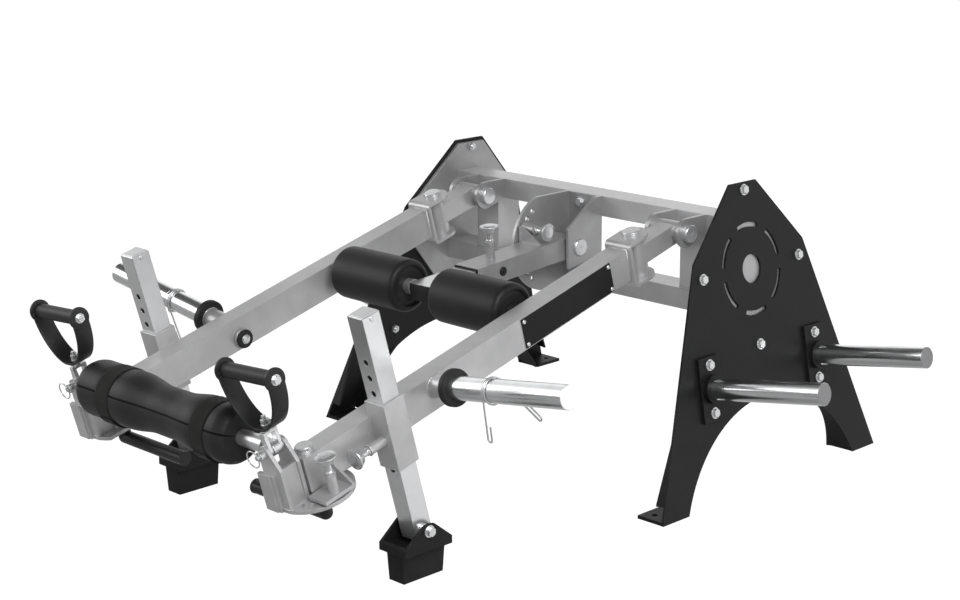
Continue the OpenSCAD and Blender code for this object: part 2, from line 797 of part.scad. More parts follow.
// Ledge that carries the head's pop pin, with its triangular stay
module pin_tab(s) {
  edge = arm_out + ledge_w;
  back = swivel_a - ledge_len / 2;
  difference() {
    arm_block([arm_out - 1, edge], from(back, ledge_len), [tab_base, tab_top]);
    translate([disc_hole_r, -swivel_a, 0]) rod_z(pop_r + run_gap, -big, big);
    arm_block([-big, arm_out + 2], [swivel_a, big], [-big, big]);
    if (s < 0) arm_block([-big, head_left + arm_end_gap], [head_back - arm_end_gap - 1, big], [-big, big]);
  }
  sheet(back, 6)
    polygon([[arm_out - 1, tab_base], [edge, tab_base], [edge, tab_top + 3], [arm_out - 1, 4]]);
}

module arm(s) color("#9a9da1") machine() arm_side(s) {
  difference() {
    union() {
      cheeks();
      arm_tube();
      translate([0, -swivel_a, 0]) rod_z(arm_out, disc_top + side_gap, arm_h / 2);
    }
    translate([0, -swing_a, 0]) rod_z(pin_r + run_gap, -big, big);
    translate([0, -swivel_a, 0]) rod_z(pin_r + run_gap, -big, big);
    translate([0, -lever_a, -lever_c]) rod_x(bolt_r + 0.1, -big, 0);
  }
  difference() {
    horn_frame() rod_x(boss_r, -8, boss_len);
    arm_block([-big, arm_out], [0, big], [-big, big]);
  }
  sleeve();
  pin_tab(s);
  translate([post_x, -sleeve_front, post_pin_c]) rotate([90, 0, 0]) pop_barrel(0);
  translate([disc_hole_r, -swivel_a, tab_top]) pop_barrel(0);
}

module left_arm() arm(-1);
module right_arm() arm(1);

// Swing pin and swivel pin, each with its washer, cap and lower retainer
module arm_pins(s) color("silver") machine() arm_side(s) {
  translate([0, -swing_a, 0]) {
    rod_z(pin_r, -cheek_low - 4, cheek_top);
    translate([0, 0, cheek_top]) cap(cap_r - 1, 10);
    translate([0, 0, -cheek_low - 4]) rod_z(pin_r + 4, -4, 4);
  }
  translate([0, -swivel_a, 0]) {
    rod_z(pin_r, disc_top - web_t + side_gap, arm_h / 2);
    translate([0, 0, arm_h / 2]) rod_z(swivel_cap_r + 1.5, 0, 5);
    translate([0, 0, arm_h / 2 + 5]) cap(swivel_cap_r, 8);
  }
}

module left_arm_pins() arm_pins(-1);
module right_arm_pins() arm_pins(1);

module name_panel(s) color("#2b2c2e") machine() arm_side(s) difference() {
  arm_block([arm_out, arm_out + panel_t], [panel_a, panel_a + panel_len], [-panel_h / 2, panel_h / 2]);
  panel_screw_places() rod_x(2.6, -big, big);
}

module left_name_panel() name_panel(-1);
module right_name_panel() name_panel(1);

module panel_screw_places() for (a = [panel_a + 7, panel_a + panel_len - 7], k = [-1, 1])
  translate([0, -a, k * (panel_h / 2 - 7)]) children();

module panel_screws(s) color("silver") machine() arm_side(s) panel_screw_places() {
  rod_x(2.5, arm_out, arm_out + panel_t);
  translate([arm_out + panel_t, 0, 0]) rotate([0, 90, 0]) cap(5, 2.6);
}

module left_panel_screws() panel_screws(-1);
module right_panel_screws() panel_screws(1);

// Wire's line round the horn, and the end of the horn's free stretch outside the clip
clip_r = horn_r + clip_wire + side_gap;
free_x = clip_x + 18;

// Plate horn with a shallow seat under the spring clip
module lever_horn(s) color("#d8dadd") machine() arm_side(s) horn_frame() difference() {
  horn_tube(boss_len, lever_len);
  difference() {
    rod_x(horn_r + 1, clip_x - 6, free_x);
    rod_x(horn_r - clip_seat, 0, lever_len);
  }
}

module left_lever_horn() lever_horn(-1);
module right_lever_horn() lever_horn(1);

// Rounded rubber ring, its bore on the z axis
module rubber_ring(r, bore, t) rotate_extrude() polygon([[bore, 0], [r - 3, 0], [r - 0.9, 0.9], [r, 3],
  [r, t - 3], [r - 0.9, t - 0.9], [r - 3, t], [bore, t]]);

// Stop ring on the lever horn, and the bumper on its spacer on the arm's inner face
module arm_rubbers(s) color("#1b1b1c") machine() arm_side(s) {
  horn_frame() translate([boss_len, 0, 0]) rotate([0, 90, 0])
    rubber_ring(ring_stop_r, horn_r + run_gap, ring_stop_t);
  translate([-arm_out - bumper_seat, -lever_a, -lever_c]) rotate([0, -90, 0]) {
    rubber_ring(bumper_r, bolt_r + 0.05, bumper_len);
    rod_z(bumper_r, -bumper_seat, 0);
    rod_z(bolt_r, -bumper_seat - arm_wall, bumper_len - 3);
    translate([0, 0, bumper_len - 3]) cylinder(r = bolt_r * 1.6, h = 6, $fn = 6);
  }
}

module left_arm_rubbers() arm_rubbers(-1);
module right_arm_rubbers() arm_rubbers(1);

// Wire clip: its turns round the horn, then two hanging legs that end in hairpins
clip_pitch = 2 * clip_wire + 1.2;
clip_steps = 24;
clip_sweep = 360 * clip_turns - 180;
clip_coil = [for (i = [0:clip_steps * clip_sweep / 360]) let (t = 180 - i * 360 / clip_steps)
  [i * clip_pitch / clip_steps, clip_r * cos(t), clip_r * sin(t)]];
// A leg from p along d, with its hairpin folded over to the side e
function clip_end(p, d, e) = let (u = d / norm(d), w = clip_pin_w / 2, tip = p + (clip_leg - w) * u)
  concat([for (f = [0.08, 0.3, 0.6, 0.85, 1]) p + f * (clip_leg - w) * u],
    [for (a = [30:30:150]) tip + w * ((1 - cos(a)) * e + sin(a) * u)],
    [for (f = [0, 0.5, 1]) tip + 2 * w * e - f * (clip_pin_len - w) * u]);
clip_first = clip_end(clip_coil[0], [-0.28, 0, -0.96], [0.96, 0, -0.28]);
clip_last = clip_end(clip_coil[len(clip_coil) - 1], [0.68, 0, -0.73], [0.73, 0, 0.68]);
clip_line = concat([for (i = [len(clip_first) - 1:-1:0]) clip_first[i]], clip_coil, clip_last);
clip_gap = min([for (i = [0:len(clip_coil) - 1], j = [0:len(clip_coil) - 1]) if (j - i > clip_steps / 2)
  norm(clip_coil[i] - clip_coil[j]) - 2 * clip_wire]);
echo(clip_least_gap = clip_gap);

module spring_clip(s) color("silver") machine() arm_side(s) horn_frame()
  translate([clip_x, 0, 0]) wire(clip_line, clip_wire, 6);

module left_spring_clip() spring_clip(-1);
module right_spring_clip() spring_clip(1);

// Height posts and boots

post_holes = [for (k = [-2:5]) post_pin_c + k * hole_pitch];

module post(s) color("#c9cbce") machine() arm_side(s) difference() {
  union() {
    arm_block(about(post_x, post_w), about(post_a, post_w), [-post_foot - 17, post_top - 3]);
    arm_block(about(post_x, post_w - 6), about(post_a, post_w - 6), [0, post_top]);
    translate([post_x, -post_a, post_top - stop_drop]) rod_x(stop_r, -post_w / 2 - 2, post_w / 2 + 2);
  }
  arm_block(about(post_x, post_w - 2 * post_wall), about(post_a, post_w - 2 * post_wall),
    [-big, post_top - 7]);
  for (c = post_holes) translate([post_x, 0, c]) rod_a(hole_r, post_a, big);
  translate([0, -post_a, -post_foot]) rod_x(bolt_r + run_gap, -big, big);
}

module left_post() post(-1);
module right_post() post(1);

module post_pin(s) color("silver") machine() arm_side(s)
  translate([post_x, -sleeve_front, post_pin_c]) rotate([90, 0, 0]) pop_plunger(sleeve_wall - 0.2);

module left_post_pin() post_pin(-1);
module right_post_pin() post_pin(1);

// x outward, z up, centred on the boot's bolt; the boot stands level
module boot_frame(s) translate([s * (arm_x + post_x), post_y, boot_z]) side(s) children();

// Side view of the boot, y to the rear: block, wings and gable
module boot_sheet() {
  low = -boot_z;
  wing = low + boot_h;
  polygon([[-boot_len / 2 + 4, low], [boot_len / 2 - 4, low], [boot_len / 2, wing], [wing_len / 2, wing + 3],
    [wing_len / 2, wing + wing_t], [16, 13], [0, 16], [-16, 13], [-wing_len / 2, wing + wing_t],
    [-wing_len / 2, wing + 3], [-boot_len / 2, wing]]);
}

// Front view of the boot: tapered to the floor
module boot_taper() polygon([[-boot_w / 2, -boot_z], [boot_w / 2, -boot_z],
  [boot_w / 2 + 2, boot_h - boot_z], [boot_top_w / 2, boot_h + 3 - boot_z], [boot_top_w / 2, 30],
  [-boot_top_w / 2, 30], [-boot_top_w / 2, boot_h + 3 - boot_z], [-boot_w / 2 - 2, boot_h - boot_z]]);

module boot(s) color("#232426") machine() boot_frame(s) difference() {
  intersection() {
    translate([-boot_top_w / 2, 0, 0]) slab(boot_top_w) boot_sheet();
    sheet(-wing_len, 2 * wing_len) boot_taper();
  }
  block([gable_t - boot_top_w / 2, -wing_len / 2 + 5, boot_h + 12 - boot_z],
    [boot_top_w / 2 - gable_t, wing_len / 2 - 5, 50]);
  rod_x(bolt_r + 0.05, -big, big);
}

module left_boot() boot(-1);
module right_boot() boot(1);

// Bolt through the boot, with a bush on each side of the post
module boot_bolt(s) color("silver") machine() boot_frame(s) {
  rod_x(bolt_r, -boot_top_w / 2, boot_top_w / 2);
  translate([boot_top_w / 2, 0, 0]) rotate([0, 90, 0]) bolt(bolt_r, 13, 2.5, 8, 1);
  translate([-boot_top_w / 2, 0, 0]) rotate([0, -90, 0]) bolt(bolt_r, 13, 2.5, 8, 1);
  for (k = [-1, 1]) side(k) rod_x(12, post_w / 2 + side_gap, boot_top_w / 2 - gable_t);
}

module left_boot_bolt() boot_bolt(-1);
module right_boot_bolt() boot_bolt(1);

// Heads

// Front view of a cheek
module cheek_outline() difference() {
  union() {
    polygon([[-head_left, disc_top], [head_right, disc_top], [head_right, 37], [lock_x + 15, lock_c + 5],
      [lock_x - 16, lock_c + 4], [-head_left + 9, lock_c - 2], [-head_left + 9, 27], [-head_left, 20]]);
    translate([lock_x, lock_c]) circle(r = 16);
  }
  translate([lock_x, lock_c]) circle(r = lock_r + run_gap);
}

// Index disc seen from above; k is 1 when its round side points to +x
module disc_sheet(k) difference() {
  union() {
    intersection() {
      translate([0, -swivel_a]) circle(r = disc_r, $fn = 96);
      translate([k > 0 ? -head_left : -big + head_left, -big]) square(big);
    }
    translate([-head_left, -head_front]) square([head_left + head_right, head_front - swivel_a]);
  }
  translate([0, -swivel_a]) {
    circle(r = pin_r + run_gap);
    for (i = [-2:3]) rotate(k > 0 ? -i * disc_step : 180 + i * disc_step)
      translate([disc_hole_r, 0]) circle(r = pop_r + 0.5);
  }
}

module head(s) color("#9a9da1") machine() arm_frame(s) {
  sheet(head_back, head_t) cheek_outline();
  sheet(head_back + head_t + head_gap, head_t) cheek_outline();
  arm_block([head_right - head_step - head_t, head_right - head_step],
    from(head_back + head_t, head_gap), [disc_top, 37]);
  difference() {
    arm_block([-head_left, -2], from(head_front, 9), [disc_top - web_t, 25]);
    arm_block([-10, 0], from(head_front + 6, 4), [-big, big]);
  }
  translate([0, 0, disc_top - web_t]) linear_extrude(web_t) disc_sheet(s);
}

module left_head() head(-1);
module right_head() head(1);

module head_pin(s) color("silver") machine() arm_side(s)
  translate([disc_hole_r, -swivel_a, tab_top]) pop_plunger(tab_top - disc_top - 0.4);

module left_head_pin() head_pin(-1);
module right_head_pin() head_pin(1);

// L-shaped grip bar under the disc: the stub, the rounded elbow and the grip
module grip_bar(s) color("#333436") machine() arm_side(s) translate([arm_out + 4, -swivel_a, 0]) {
  under = disc_top - web_t;
  translate([-grip_r, 0, 0]) rod_z(grip_r, -grip_c, under);
  translate([-grip_r, 0, -grip_c]) sphere(r = grip_r);
  translate([-grip_r, 0, -grip_c]) rod_x(grip_r, -grip_len + grip_r + 3, 0);
  translate([-grip_len, 0, -grip_c]) rod_x(grip_r + 1, 0, 3);
}

module left_grip_bar() grip_bar(-1);
module right_grip_bar() grip_bar(1);

// Ball-lock pin with its head and wire ring
module lock_pin(s) color("silver") machine() on_lock(s) {
  reach = head_gap / 2 + head_t;
  difference() {
    rod_a(lock_r, -reach - 6, reach + side_gap);
    translate([0, reach + 3, 0]) rod_x(1.6, -big, big);
  }
  rod_a(10, reach + side_gap, reach + 13);
  rod_a(5, reach + 13, reach + 19);
  translate([-16, -reach - 16, -7]) rotate([90, 0, 0]) rotate_extrude() translate([18, 0]) circle(r = 1.4);
}

module left_lock_pin() lock_pin(-1);
module right_lock_pin() lock_pin(1);

// D-handles

// Line of the strap in its own plane, from the foot's middle up to the right ear
foot_curve = [[foot_half, handle_foot], [44, handle_foot + 4], [ear_out, grip_up - 62],
  [ear_out - handle_t / 2, grip_up]];
strap_half = [for (t = [0:0.1:1]) bez(foot_curve, t)];
strap_line = concat([for (i = [len(strap_half) - 1:-1:0]) [-strap_half[i][0], strap_half[i][1]]], strap_half);

module handle_strap(s) color("#232426") machine() on_swivel(s) difference() {
  union() {
    sheet(-handle_w / 2, handle_w) polygon(strip(strap_line, handle_t));
    for (k = [-1, 1]) side(k) translate([0, 0, grip_up]) rod_x(ear_r, ear_out - handle_t, ear_out);
  }
  translate([0, 0, grip_up]) rod_x(small_bolt_r + 0.1, -big, big);
  rod_z(small_bolt_r + run_gap, 0, handle_foot + 20);
}

module left_handle_strap() handle_strap(-1);
module right_handle_strap() handle_strap(1);

// Axle bolt of the grip, and the swivel's bolt and nut
module handle_bolts(s) color("silver") machine() on_swivel(s) {
  translate([0, 0, grip_up]) {
    rod_x(small_bolt_r, -ear_out, ear_out);
    for (k = [-1, 1]) side(k) translate([ear_out, 0, 0]) rotate([0, 90, 0]) bolt(small_bolt_r, 11, 2, 6, 1);
  }
  translate([0, 0, handle_foot]) {
    rod_z(small_bolt_r, -9, 22);
    rod_z(10, handle_t / 2, handle_t / 2 + 2);
    translate([0, 0, handle_t / 2 + 2]) cylinder(r = 9, h = 10, $fn = 6);
  }
}

module left_handle_bolts() handle_bolts(-1);
module right_handle_bolts() handle_bolts(1);

module handle_grip(s) color("#38393b") machine() on_swivel(s) translate([0, 0, grip_up]) difference() {
  rod_x(turn_r, handle_t + 2.5 * side_gap - ear_out, ear_out - handle_t - 2.5 * side_gap);
  rod_x(small_bolt_r + run_gap, -big, big);
}

module left_handle_grip() handle_grip(-1);
module right_handle_grip() handle_grip(1);

prong_t = head_gap / 2 - 2 * side_gap - eye_t / 2;

// Fork that straddles the bar's eye, with a collar for the swivel bolt
module shackle(s) color("#c9cbce") machine() difference() {
  prong = head_gap / 2 - side_gap;
  seat = handle_foot - handle_t / 2 - 1;
  on_swivel(s) {
    for (k = [-1, 1]) translate([0, k > 0 ? prong : -prong + prong_t, 0]) rotate([90, 0, 0])
      linear_extrude(prong_t) union() {
        circle(r = 11.5);
        polygon([[-10, 3], [-6, seat - 16], [-6, seat - 6], [6, seat - 6], [6, seat - 16], [10, 3]]);
      }
    block([-6.5, -prong, seat - 12], [6.5, prong, seat - 6]);
    rod_z(11, seat - 6, seat);
  }
  on_lock(s) rod_a(lock_r + run_gap, -big, big);
  on_swivel(s) rod_z(small_bolt_r + run_gap, seat - 20, seat + 1);
}

module left_shackle() shackle(-1);
module right_shackle() shackle(1);

// Padded bar

bar_half = arm_x;

module on_bar() translate([lock_x, front_y, bar_z]) rotate([arm_pitch, 0, 0]) children();

module pad_bar() color("#8a8c8f") machine() on_bar() difference() {
  union() {
    rod_x(bar_r, -bar_half + 24, bar_half - 24);
    block([-bar_half, -eye_t / 2, -bar_r + 3], [bar_half, eye_t / 2, bar_r - 3]);
    for (k = [-1, 1]) translate([k * bar_half, 0, 0]) rod_a(bar_r - 3, -eye_t / 2, eye_t / 2);
  }
  for (k = [-1, 1]) translate([k * bar_half, 0, 0]) rod_a(lock_r + run_gap, -big, big);
}

// Swell of the pad: two lobes, a waist off centre and drawn-in ends
function smooth(t) = let (u = max(0, min(1, t))) u * u * (3 - 2 * u);
pad_len = 2 * arm_x - head_right - head_left - pad_gap - bare_len;
pad_start = head_right + pad_gap - arm_x - lock_x;
waist_at = pad_len * 0.56;
function pad_swell(x) = let (d = abs(x - waist_at)) waist_r + (pad_r - waist_r) * smooth((d - 30) / 95);
function pad_profile(x) = let (near = min(x, pad_len - x), lobe = pad_swell(x))
  near < 30 ? pad_end_r + (lobe - pad_end_r) * sin(90 * near / 30) ^ 0.6 : lobe;
pad_points = [for (i = [0:40]) let (x = pad_len * (0.5 - 0.5 * cos(i * 180 / 40)) ) [pad_profile(x), x]];

module pad_foam() color("#2c2d2d") machine() on_bar()
  translate([pad_start, 0, 0]) rotate([0, 90, 0]) rotate_extrude()
    polygon(concat([[bar_r + run_gap, 0]], pad_points, [[bar_r + run_gap, pad_len]]));

// Left edge of each strap along the pad
strap_at = [pad_len * 0.173, pad_len * 0.813];

module pad_straps() color("#3b3833") machine() on_bar()
  translate([pad_start, 0, 0]) rotate([0, 90, 0]) for (x0 = strap_at) rotate_extrude()
    polygon(concat([for (i = [0:6]) let (x = x0 + strap_w * i / 6) [pad_profile(x) + 0.1, x]],
      [for (i = [6:-1:0]) let (x = x0 + strap_w * i / 6) [pad_profile(x) + strap_t, x]]));

// Centre bracket and centre arm

// Arc plate, side view: y to the rear of the pivot, z up from it
module arc_sheet() difference() {
  union() {
    intersection() {
      circle(r = arc_r, $fn = 96);
      translate([-big, -big]) square([big + mid_reach - mid_plate_t, big + beam_top - mid_z]);
      polygon([[-big, -arc_r * 0.98], [mid_reach, -arc_r * 0.98], [mid_reach, big], [-big, big]]);
    }
    polygon([[0, beam_top - mid_z], [mid_reach - mid_plate_t, beam_top - mid_z],
      [mid_reach - mid_plate_t, -arc_tail], [0, -arc_r * 0.98]]);
  }
  circle(r = pin_r + run_gap);
  for (k = [-2:6]) rotate(knob_angle + k * arc_step) translate([arc_hole_r, 0]) circle(r = pop_r + 0.5);
}

module pivot_sheet() difference() {
  polygon([[mid_reach - mid_plate_t, beam_top - mid_z], [cheek_back, beam_top - mid_z],
    [-cheek_front, cheek_half], [-cheek_front * 0.88, -cheek_half], [mid_reach - mid_plate_t, -cheek_tail]]);
  circle(r = pin_r + run_gap);
}

module centre_bracket() color("#85888c") machine() {
  difference() {
    block([-arc_x, beam_front - mid_plate_t, lower_top - bracket_drop], [pivot_x, beam_front, beam_top]);
    translate([bracket_bolt[0], 0, bracket_bolt[1]]) rod_a(bolt_r + 0.1, 0, big);
  }
  translate([-arc_x, mid_y, mid_z]) slab(mid_plate_t) arc_sheet();
  translate([pivot_x - mid_plate_t, mid_y, mid_z]) slab(mid_plate_t) pivot_sheet();
}

// Place of the index knob in the arm's own frame
knob_in_arm = knob_angle - mid_pitch;
knob_yz = arc_hole_r * [cos(knob_in_arm), sin(knob_in_arm)];
knob_wall = mid_w / 2;
knob_seat = -knob_wall - 7;

// Plate beside the arm that carries the index knob, and the triangular stay in front of it
module knob_plate() {
  translate([-knob_wall - 8, 0, 0]) slab(8) difference() {
    union() {
      polygon([[knob_yz[0] - 24, mid_h / 2 - 20], [knob_yz[0] + 26, mid_h / 2 - 20],
        [knob_yz[0] + 14, knob_yz[1]], [knob_yz[0] - 20, knob_yz[1] + 8]]);
      translate(knob_yz) circle(r = 14);
    }
    translate(knob_yz) circle(r = pop_r + run_gap);
  }
  sheet(-knob_yz[0] + 14, 6)
    polygon([[-knob_wall - 8, mid_h / 2 - 1], [10 - knob_wall + knob_yz[1], mid_h / 2 - 1],
      [4 - knob_wall, knob_yz[1] + 8], [-knob_wall - 8, knob_yz[1] + 8]]);
}

module centre_arm() color("#9a9da1") machine() mid_frame() {
  half = pivot_x - mid_plate_t - side_gap;
  difference() {
    union() {
      arm_block(about(0, mid_w), [0, mid_len], about(0, mid_h));
      rod_x(mid_h / 2, side_gap - arc_x + mid_plate_t, half);
    }
    arm_block(about(0, mid_w - 2 * mid_wall), [mid_h / 2 + 4, big], about(0, mid_h - 2 * mid_wall));
    rod_x(pin_r + run_gap, -big, big);
    translate([0, mid_pin_back - mid_len, 0]) rod_z(pop_r + run_gap, 0, big);
    translate([0, mid_pin_back - mid_len, 0]) rod_x(4.2, 0, big);
  }
  knob_plate();
  translate([knob_seat, knob_yz[0], knob_yz[1]]) rotate([0, 90, 0]) pop_barrel(0);
  translate([0, mid_pin_back - mid_len, mid_h / 2]) pop_barrel(0);
}

module index_knob() color("silver") machine() mid_frame()
  translate([knob_seat, knob_yz[0], knob_yz[1]]) rotate([0, 90, 0])
    pop_plunger(arc_x - mid_plate_t + knob_seat - 0.5);

module centre_pin() color("silver") machine() mid_frame()
  translate([0, mid_pin_back - mid_len, mid_h / 2]) pop_plunger(mid_wall - 0.2);

// Inner tube with its end block, and the axle of the rollers through it
inner_gap = 0.5;
inner_wall = 4;
inner_w = mid_w - 2 * (mid_wall + inner_gap);
inner_h = mid_h - 2 * (mid_wall + inner_gap);
axle_a = mid_len + inner_out - 24;

module inner_tube() color("#d0d2d5") machine() mid_frame() {
  difference() {
    arm_block(about(0, inner_w), [mid_len - inner_in, mid_len + inner_out], about(0, inner_h));
    arm_block(about(0, inner_w - 2 * inner_wall), [0, mid_len + inner_out - block_len],
      about(0, inner_h - 2 * inner_wall));
  }
  translate([0, -axle_a, 0]) for (k = [-1, 1]) side(k) {
    rod_x(axle_r, inner_w / 2, roller_gap / 2 + roller_len - 10);
    rod_x(axle_r + 8, roller_gap / 2 - 12, roller_gap / 2 + 14);
    translate([roller_gap / 2 + roller_len - 10, 0, 0]) rotate([0, 90, 0]) cap(axle_r + 6, 6);
  }
}

// Foam roller: soft shoulders, dished ends and a bore for the axle; x = 0 at its inner end
module roller(s) color("#2a2a2b") machine() mid_frame() side(s)
  translate([roller_gap / 2, -axle_a, 0]) rotate([0, 90, 0]) rotate_extrude() polygon(concat(
    [[axle_r + 9, 14 + side_gap], [axle_r + 9, 8], [roller_r * 0.62, 3.5], [roller_r * 0.78, 6]],
    [for (t = [0:15:90]) [roller_r - shoulder_r * (1 - sin(t)), shoulder_r * (1 - cos(t))]],
    [[roller_r + 0.4, roller_len / 2]],
    [for (t = [90:-15:0]) [roller_r - shoulder_r * (1 - sin(t)), roller_len - shoulder_r * (1 - cos(t))]],
    [[roller_r * 0.78, roller_len - 6], [roller_r * 0.62, roller_len - 3.5], [axle_r + 7, roller_len - 6],
    [axle_r + 7, roller_len - 10 - side_gap], [axle_r + run_gap, roller_len - 10 - side_gap],
    [axle_r + run_gap, 14 + side_gap]]));

module left_roller() roller(-1);
module right_roller() roller(1);

cross_beams();
uprights();
end_plates();
left_side_plate();
right_side_plate();
frame_bolts();
horn_brackets();
storage_horns();
lift_clevises();
pivot_pins();
centre_bracket();
left_link();
right_link();
left_arm();
right_arm();
left_arm_pins();
right_arm_pins();
left_name_panel();
right_name_panel();
left_panel_screws();
right_panel_screws();
left_lever_horn();
right_lever_horn();
left_arm_rubbers();
right_arm_rubbers();
left_spring_clip();
right_spring_clip();
left_post();
right_post();
left_post_pin();
right_post_pin();
left_boot();
right_boot();
left_boot_bolt();
right_boot_bolt();
left_head();
right_head();
left_head_pin();
right_head_pin();
left_grip_bar();
right_grip_bar();
left_lock_pin();
right_lock_pin();
left_shackle();
right_shackle();
left_handle_strap();
right_handle_strap();
left_handle_bolts();
right_handle_bolts();
left_handle_grip();
right_handle_grip();
pad_bar();
pad_foam();
pad_straps();
centre_arm();
index_knob();
centre_pin();
inner_tube();
left_roller();
right_roller();
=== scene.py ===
"""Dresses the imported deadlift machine: finishes, soft pieces, lights and the photograph's view."""
import math

import bmesh
import bpy
from mathutils import Matrix, Vector


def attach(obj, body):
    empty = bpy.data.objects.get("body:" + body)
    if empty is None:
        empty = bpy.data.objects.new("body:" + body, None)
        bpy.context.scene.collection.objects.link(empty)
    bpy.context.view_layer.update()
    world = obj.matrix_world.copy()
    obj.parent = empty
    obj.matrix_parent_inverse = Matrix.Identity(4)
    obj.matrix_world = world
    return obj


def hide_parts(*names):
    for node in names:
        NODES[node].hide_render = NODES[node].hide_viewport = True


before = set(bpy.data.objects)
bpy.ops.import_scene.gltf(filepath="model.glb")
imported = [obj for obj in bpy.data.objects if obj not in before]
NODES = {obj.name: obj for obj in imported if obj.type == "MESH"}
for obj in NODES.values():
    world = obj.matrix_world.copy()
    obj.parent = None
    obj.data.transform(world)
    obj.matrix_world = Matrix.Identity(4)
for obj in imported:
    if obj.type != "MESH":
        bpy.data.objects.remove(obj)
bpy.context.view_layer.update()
scene = bpy.context.scene

# The user's left is at -X
SIDES = ((-1, "left"), (1, "right"))

# Sizes in metres, as in the part's source

# Rear beams: their middle plane and half depth, the heights at which the uprights meet them, and
# how far out the two sides of an upright lie
SHIFT_Y = 0.4679535
BEAM_HALF, BEAM_MEETS, UPRIGHT_SIDES = 0.0375, (0.430, 0.567), (0.300, 0.375)

# Lever arm: its plane, lift pin and pitch; half its tube; its horn's root, tilt and length; the
# spring clip on the horn; the bumper on the inner side
ARM_X, LIFT_Z, LIFT_Y = 0.326, 0.583, SHIFT_Y - 0.106
ARM_PITCH = math.radians(15.5)
SIN_P, COS_P = math.sin(ARM_PITCH), math.cos(ARM_PITCH)
ARM_HALF_W, ARM_HALF_H = 0.026, 0.0375
HORN_A, HORN_C, HORN_TILT, HORN_LEN = 0.803, 0.012, math.radians(9.5), 0.391
CLIP_AT, CLIP_R, CLIP_STEP, CLIP_WIRE = 0.172, 0.0273, 0.0052, 0.002
CLIP_PIN_W, CLIP_LEG, CLIP_PIN_LEN = 0.011, 0.106, 0.038
BUMPER_C, SPACER_T, BUMPER_T = -0.012, 0.009, 0.007

# Padded bar: where its axis crosses the lock pins, its pad, and the straps round it
LOCK_A, LOCK_C, LOCK_X = 1.194, 0.069, -0.018
BAR = Vector((LOCK_X, LIFT_Y - LOCK_A * COS_P - LOCK_C * SIN_P,
              LIFT_Z - LOCK_A * SIN_P + LOCK_C * COS_P))
PAD_LEN, PAD_START = 0.507, -0.279
PAD_R, WAIST_R, PAD_END_R, BAR_R = 0.062, 0.0515, 0.046, 0.017
WAIST_AT, WAIST_FLAT, WAIST_SLOPE, PAD_ROUND = PAD_LEN * 0.56, 0.030, 0.095, 0.030
PAD_SEAM = math.radians(16.0)
STRAP_W, STRAP_T = 0.045, 0.0015
STRAP_AT = [PAD_LEN * 0.173, PAD_LEN * 0.813]
STRAP_EDGES = [at + side * STRAP_W for at in STRAP_AT for side in (0, 1)]
WARP, WEFT = 0.0021, 0.0028  # from thread to thread

# D-handle: lean, height of its grip, half its width, and its band
HANDLE_LEAN, GRIP_UP, EAR_OUT, EAR_R = math.radians(4.5), 0.161, 0.081, 0.024
BAND_T, BAND_W, GRIP_RIB = 0.005, 0.040, 0.0046  # the last from rib to rib

# Centre arm: its pivot and pitch, its two tubes, and the rollers on the axle
MID_PITCH, MID_Z, MID_Y = math.radians(4.5), 0.502, SHIFT_Y - 0.117
OUTER_LEN, INNER_OUT, AXLE_BACK, SIDE_BOLT_A = 0.330, 0.150, 0.024, 0.250
ROLLER_R, ROLLER_LEN, ROLLER_GAP, AXLE_R, ROLLER_ROUND = 0.062, 0.216, 0.114, 0.010, 0.013

# Side plates: their foot line and splay; the tips of their storage horns, out from and up each plate
PLATE_X, SPLAY = 0.568, math.radians(9.75)
STORAGE_OUT, STORAGE_Y, STORAGE_UP = 0.314, 0.199, 0.2656


class Value:
    """One socket of a finish, on which plain sums add their own nodes."""

    def __init__(self, finish, socket):
        self.finish, self.socket = finish, socket

    def maths(self, operation, *others, clamp=False):
        settings = {"operation": operation, "use_clamp": clamp}
        return self.finish.node("ShaderNodeMath", settings, dict(enumerate((self, *others))))

    def __add__(self, other): return self.maths("ADD", other)
    def __radd__(self, other): return self.maths("ADD", other)
    def __sub__(self, other): return self.maths("SUBTRACT", other)
    def __rsub__(self, other): return self.finish.number(other).maths("SUBTRACT", self)
    def __mul__(self, other): return self.maths("MULTIPLY", other)
    def __rmul__(self, other): return self.maths("MULTIPLY", other)
    def __truediv__(self, other): return self.maths("DIVIDE", other)
    def __rtruediv__(self, other): return self.finish.number(other).maths("DIVIDE", self)
    def __neg__(self): return self.maths("MULTIPLY", -1.0)

    def clamped(self): return self.maths("ADD", 0.0, clamp=True)
    def sine(self): return self.maths("SINE")
    def size(self): return self.maths("ABSOLUTE")

    def between(self, low, high):
        """0 below low, 1 above high and smooth in between."""
        return self.finish.node("ShaderNodeMapRange", {"interpolation_type": "SMOOTHSTEP"},
                                {"Value": self, "From Min": low, "From Max": high})


# A mix node's colour sockets, which share their names with its number sockets
MIX_A, MIX_B, MIX_RESULT = 6, 7, 2


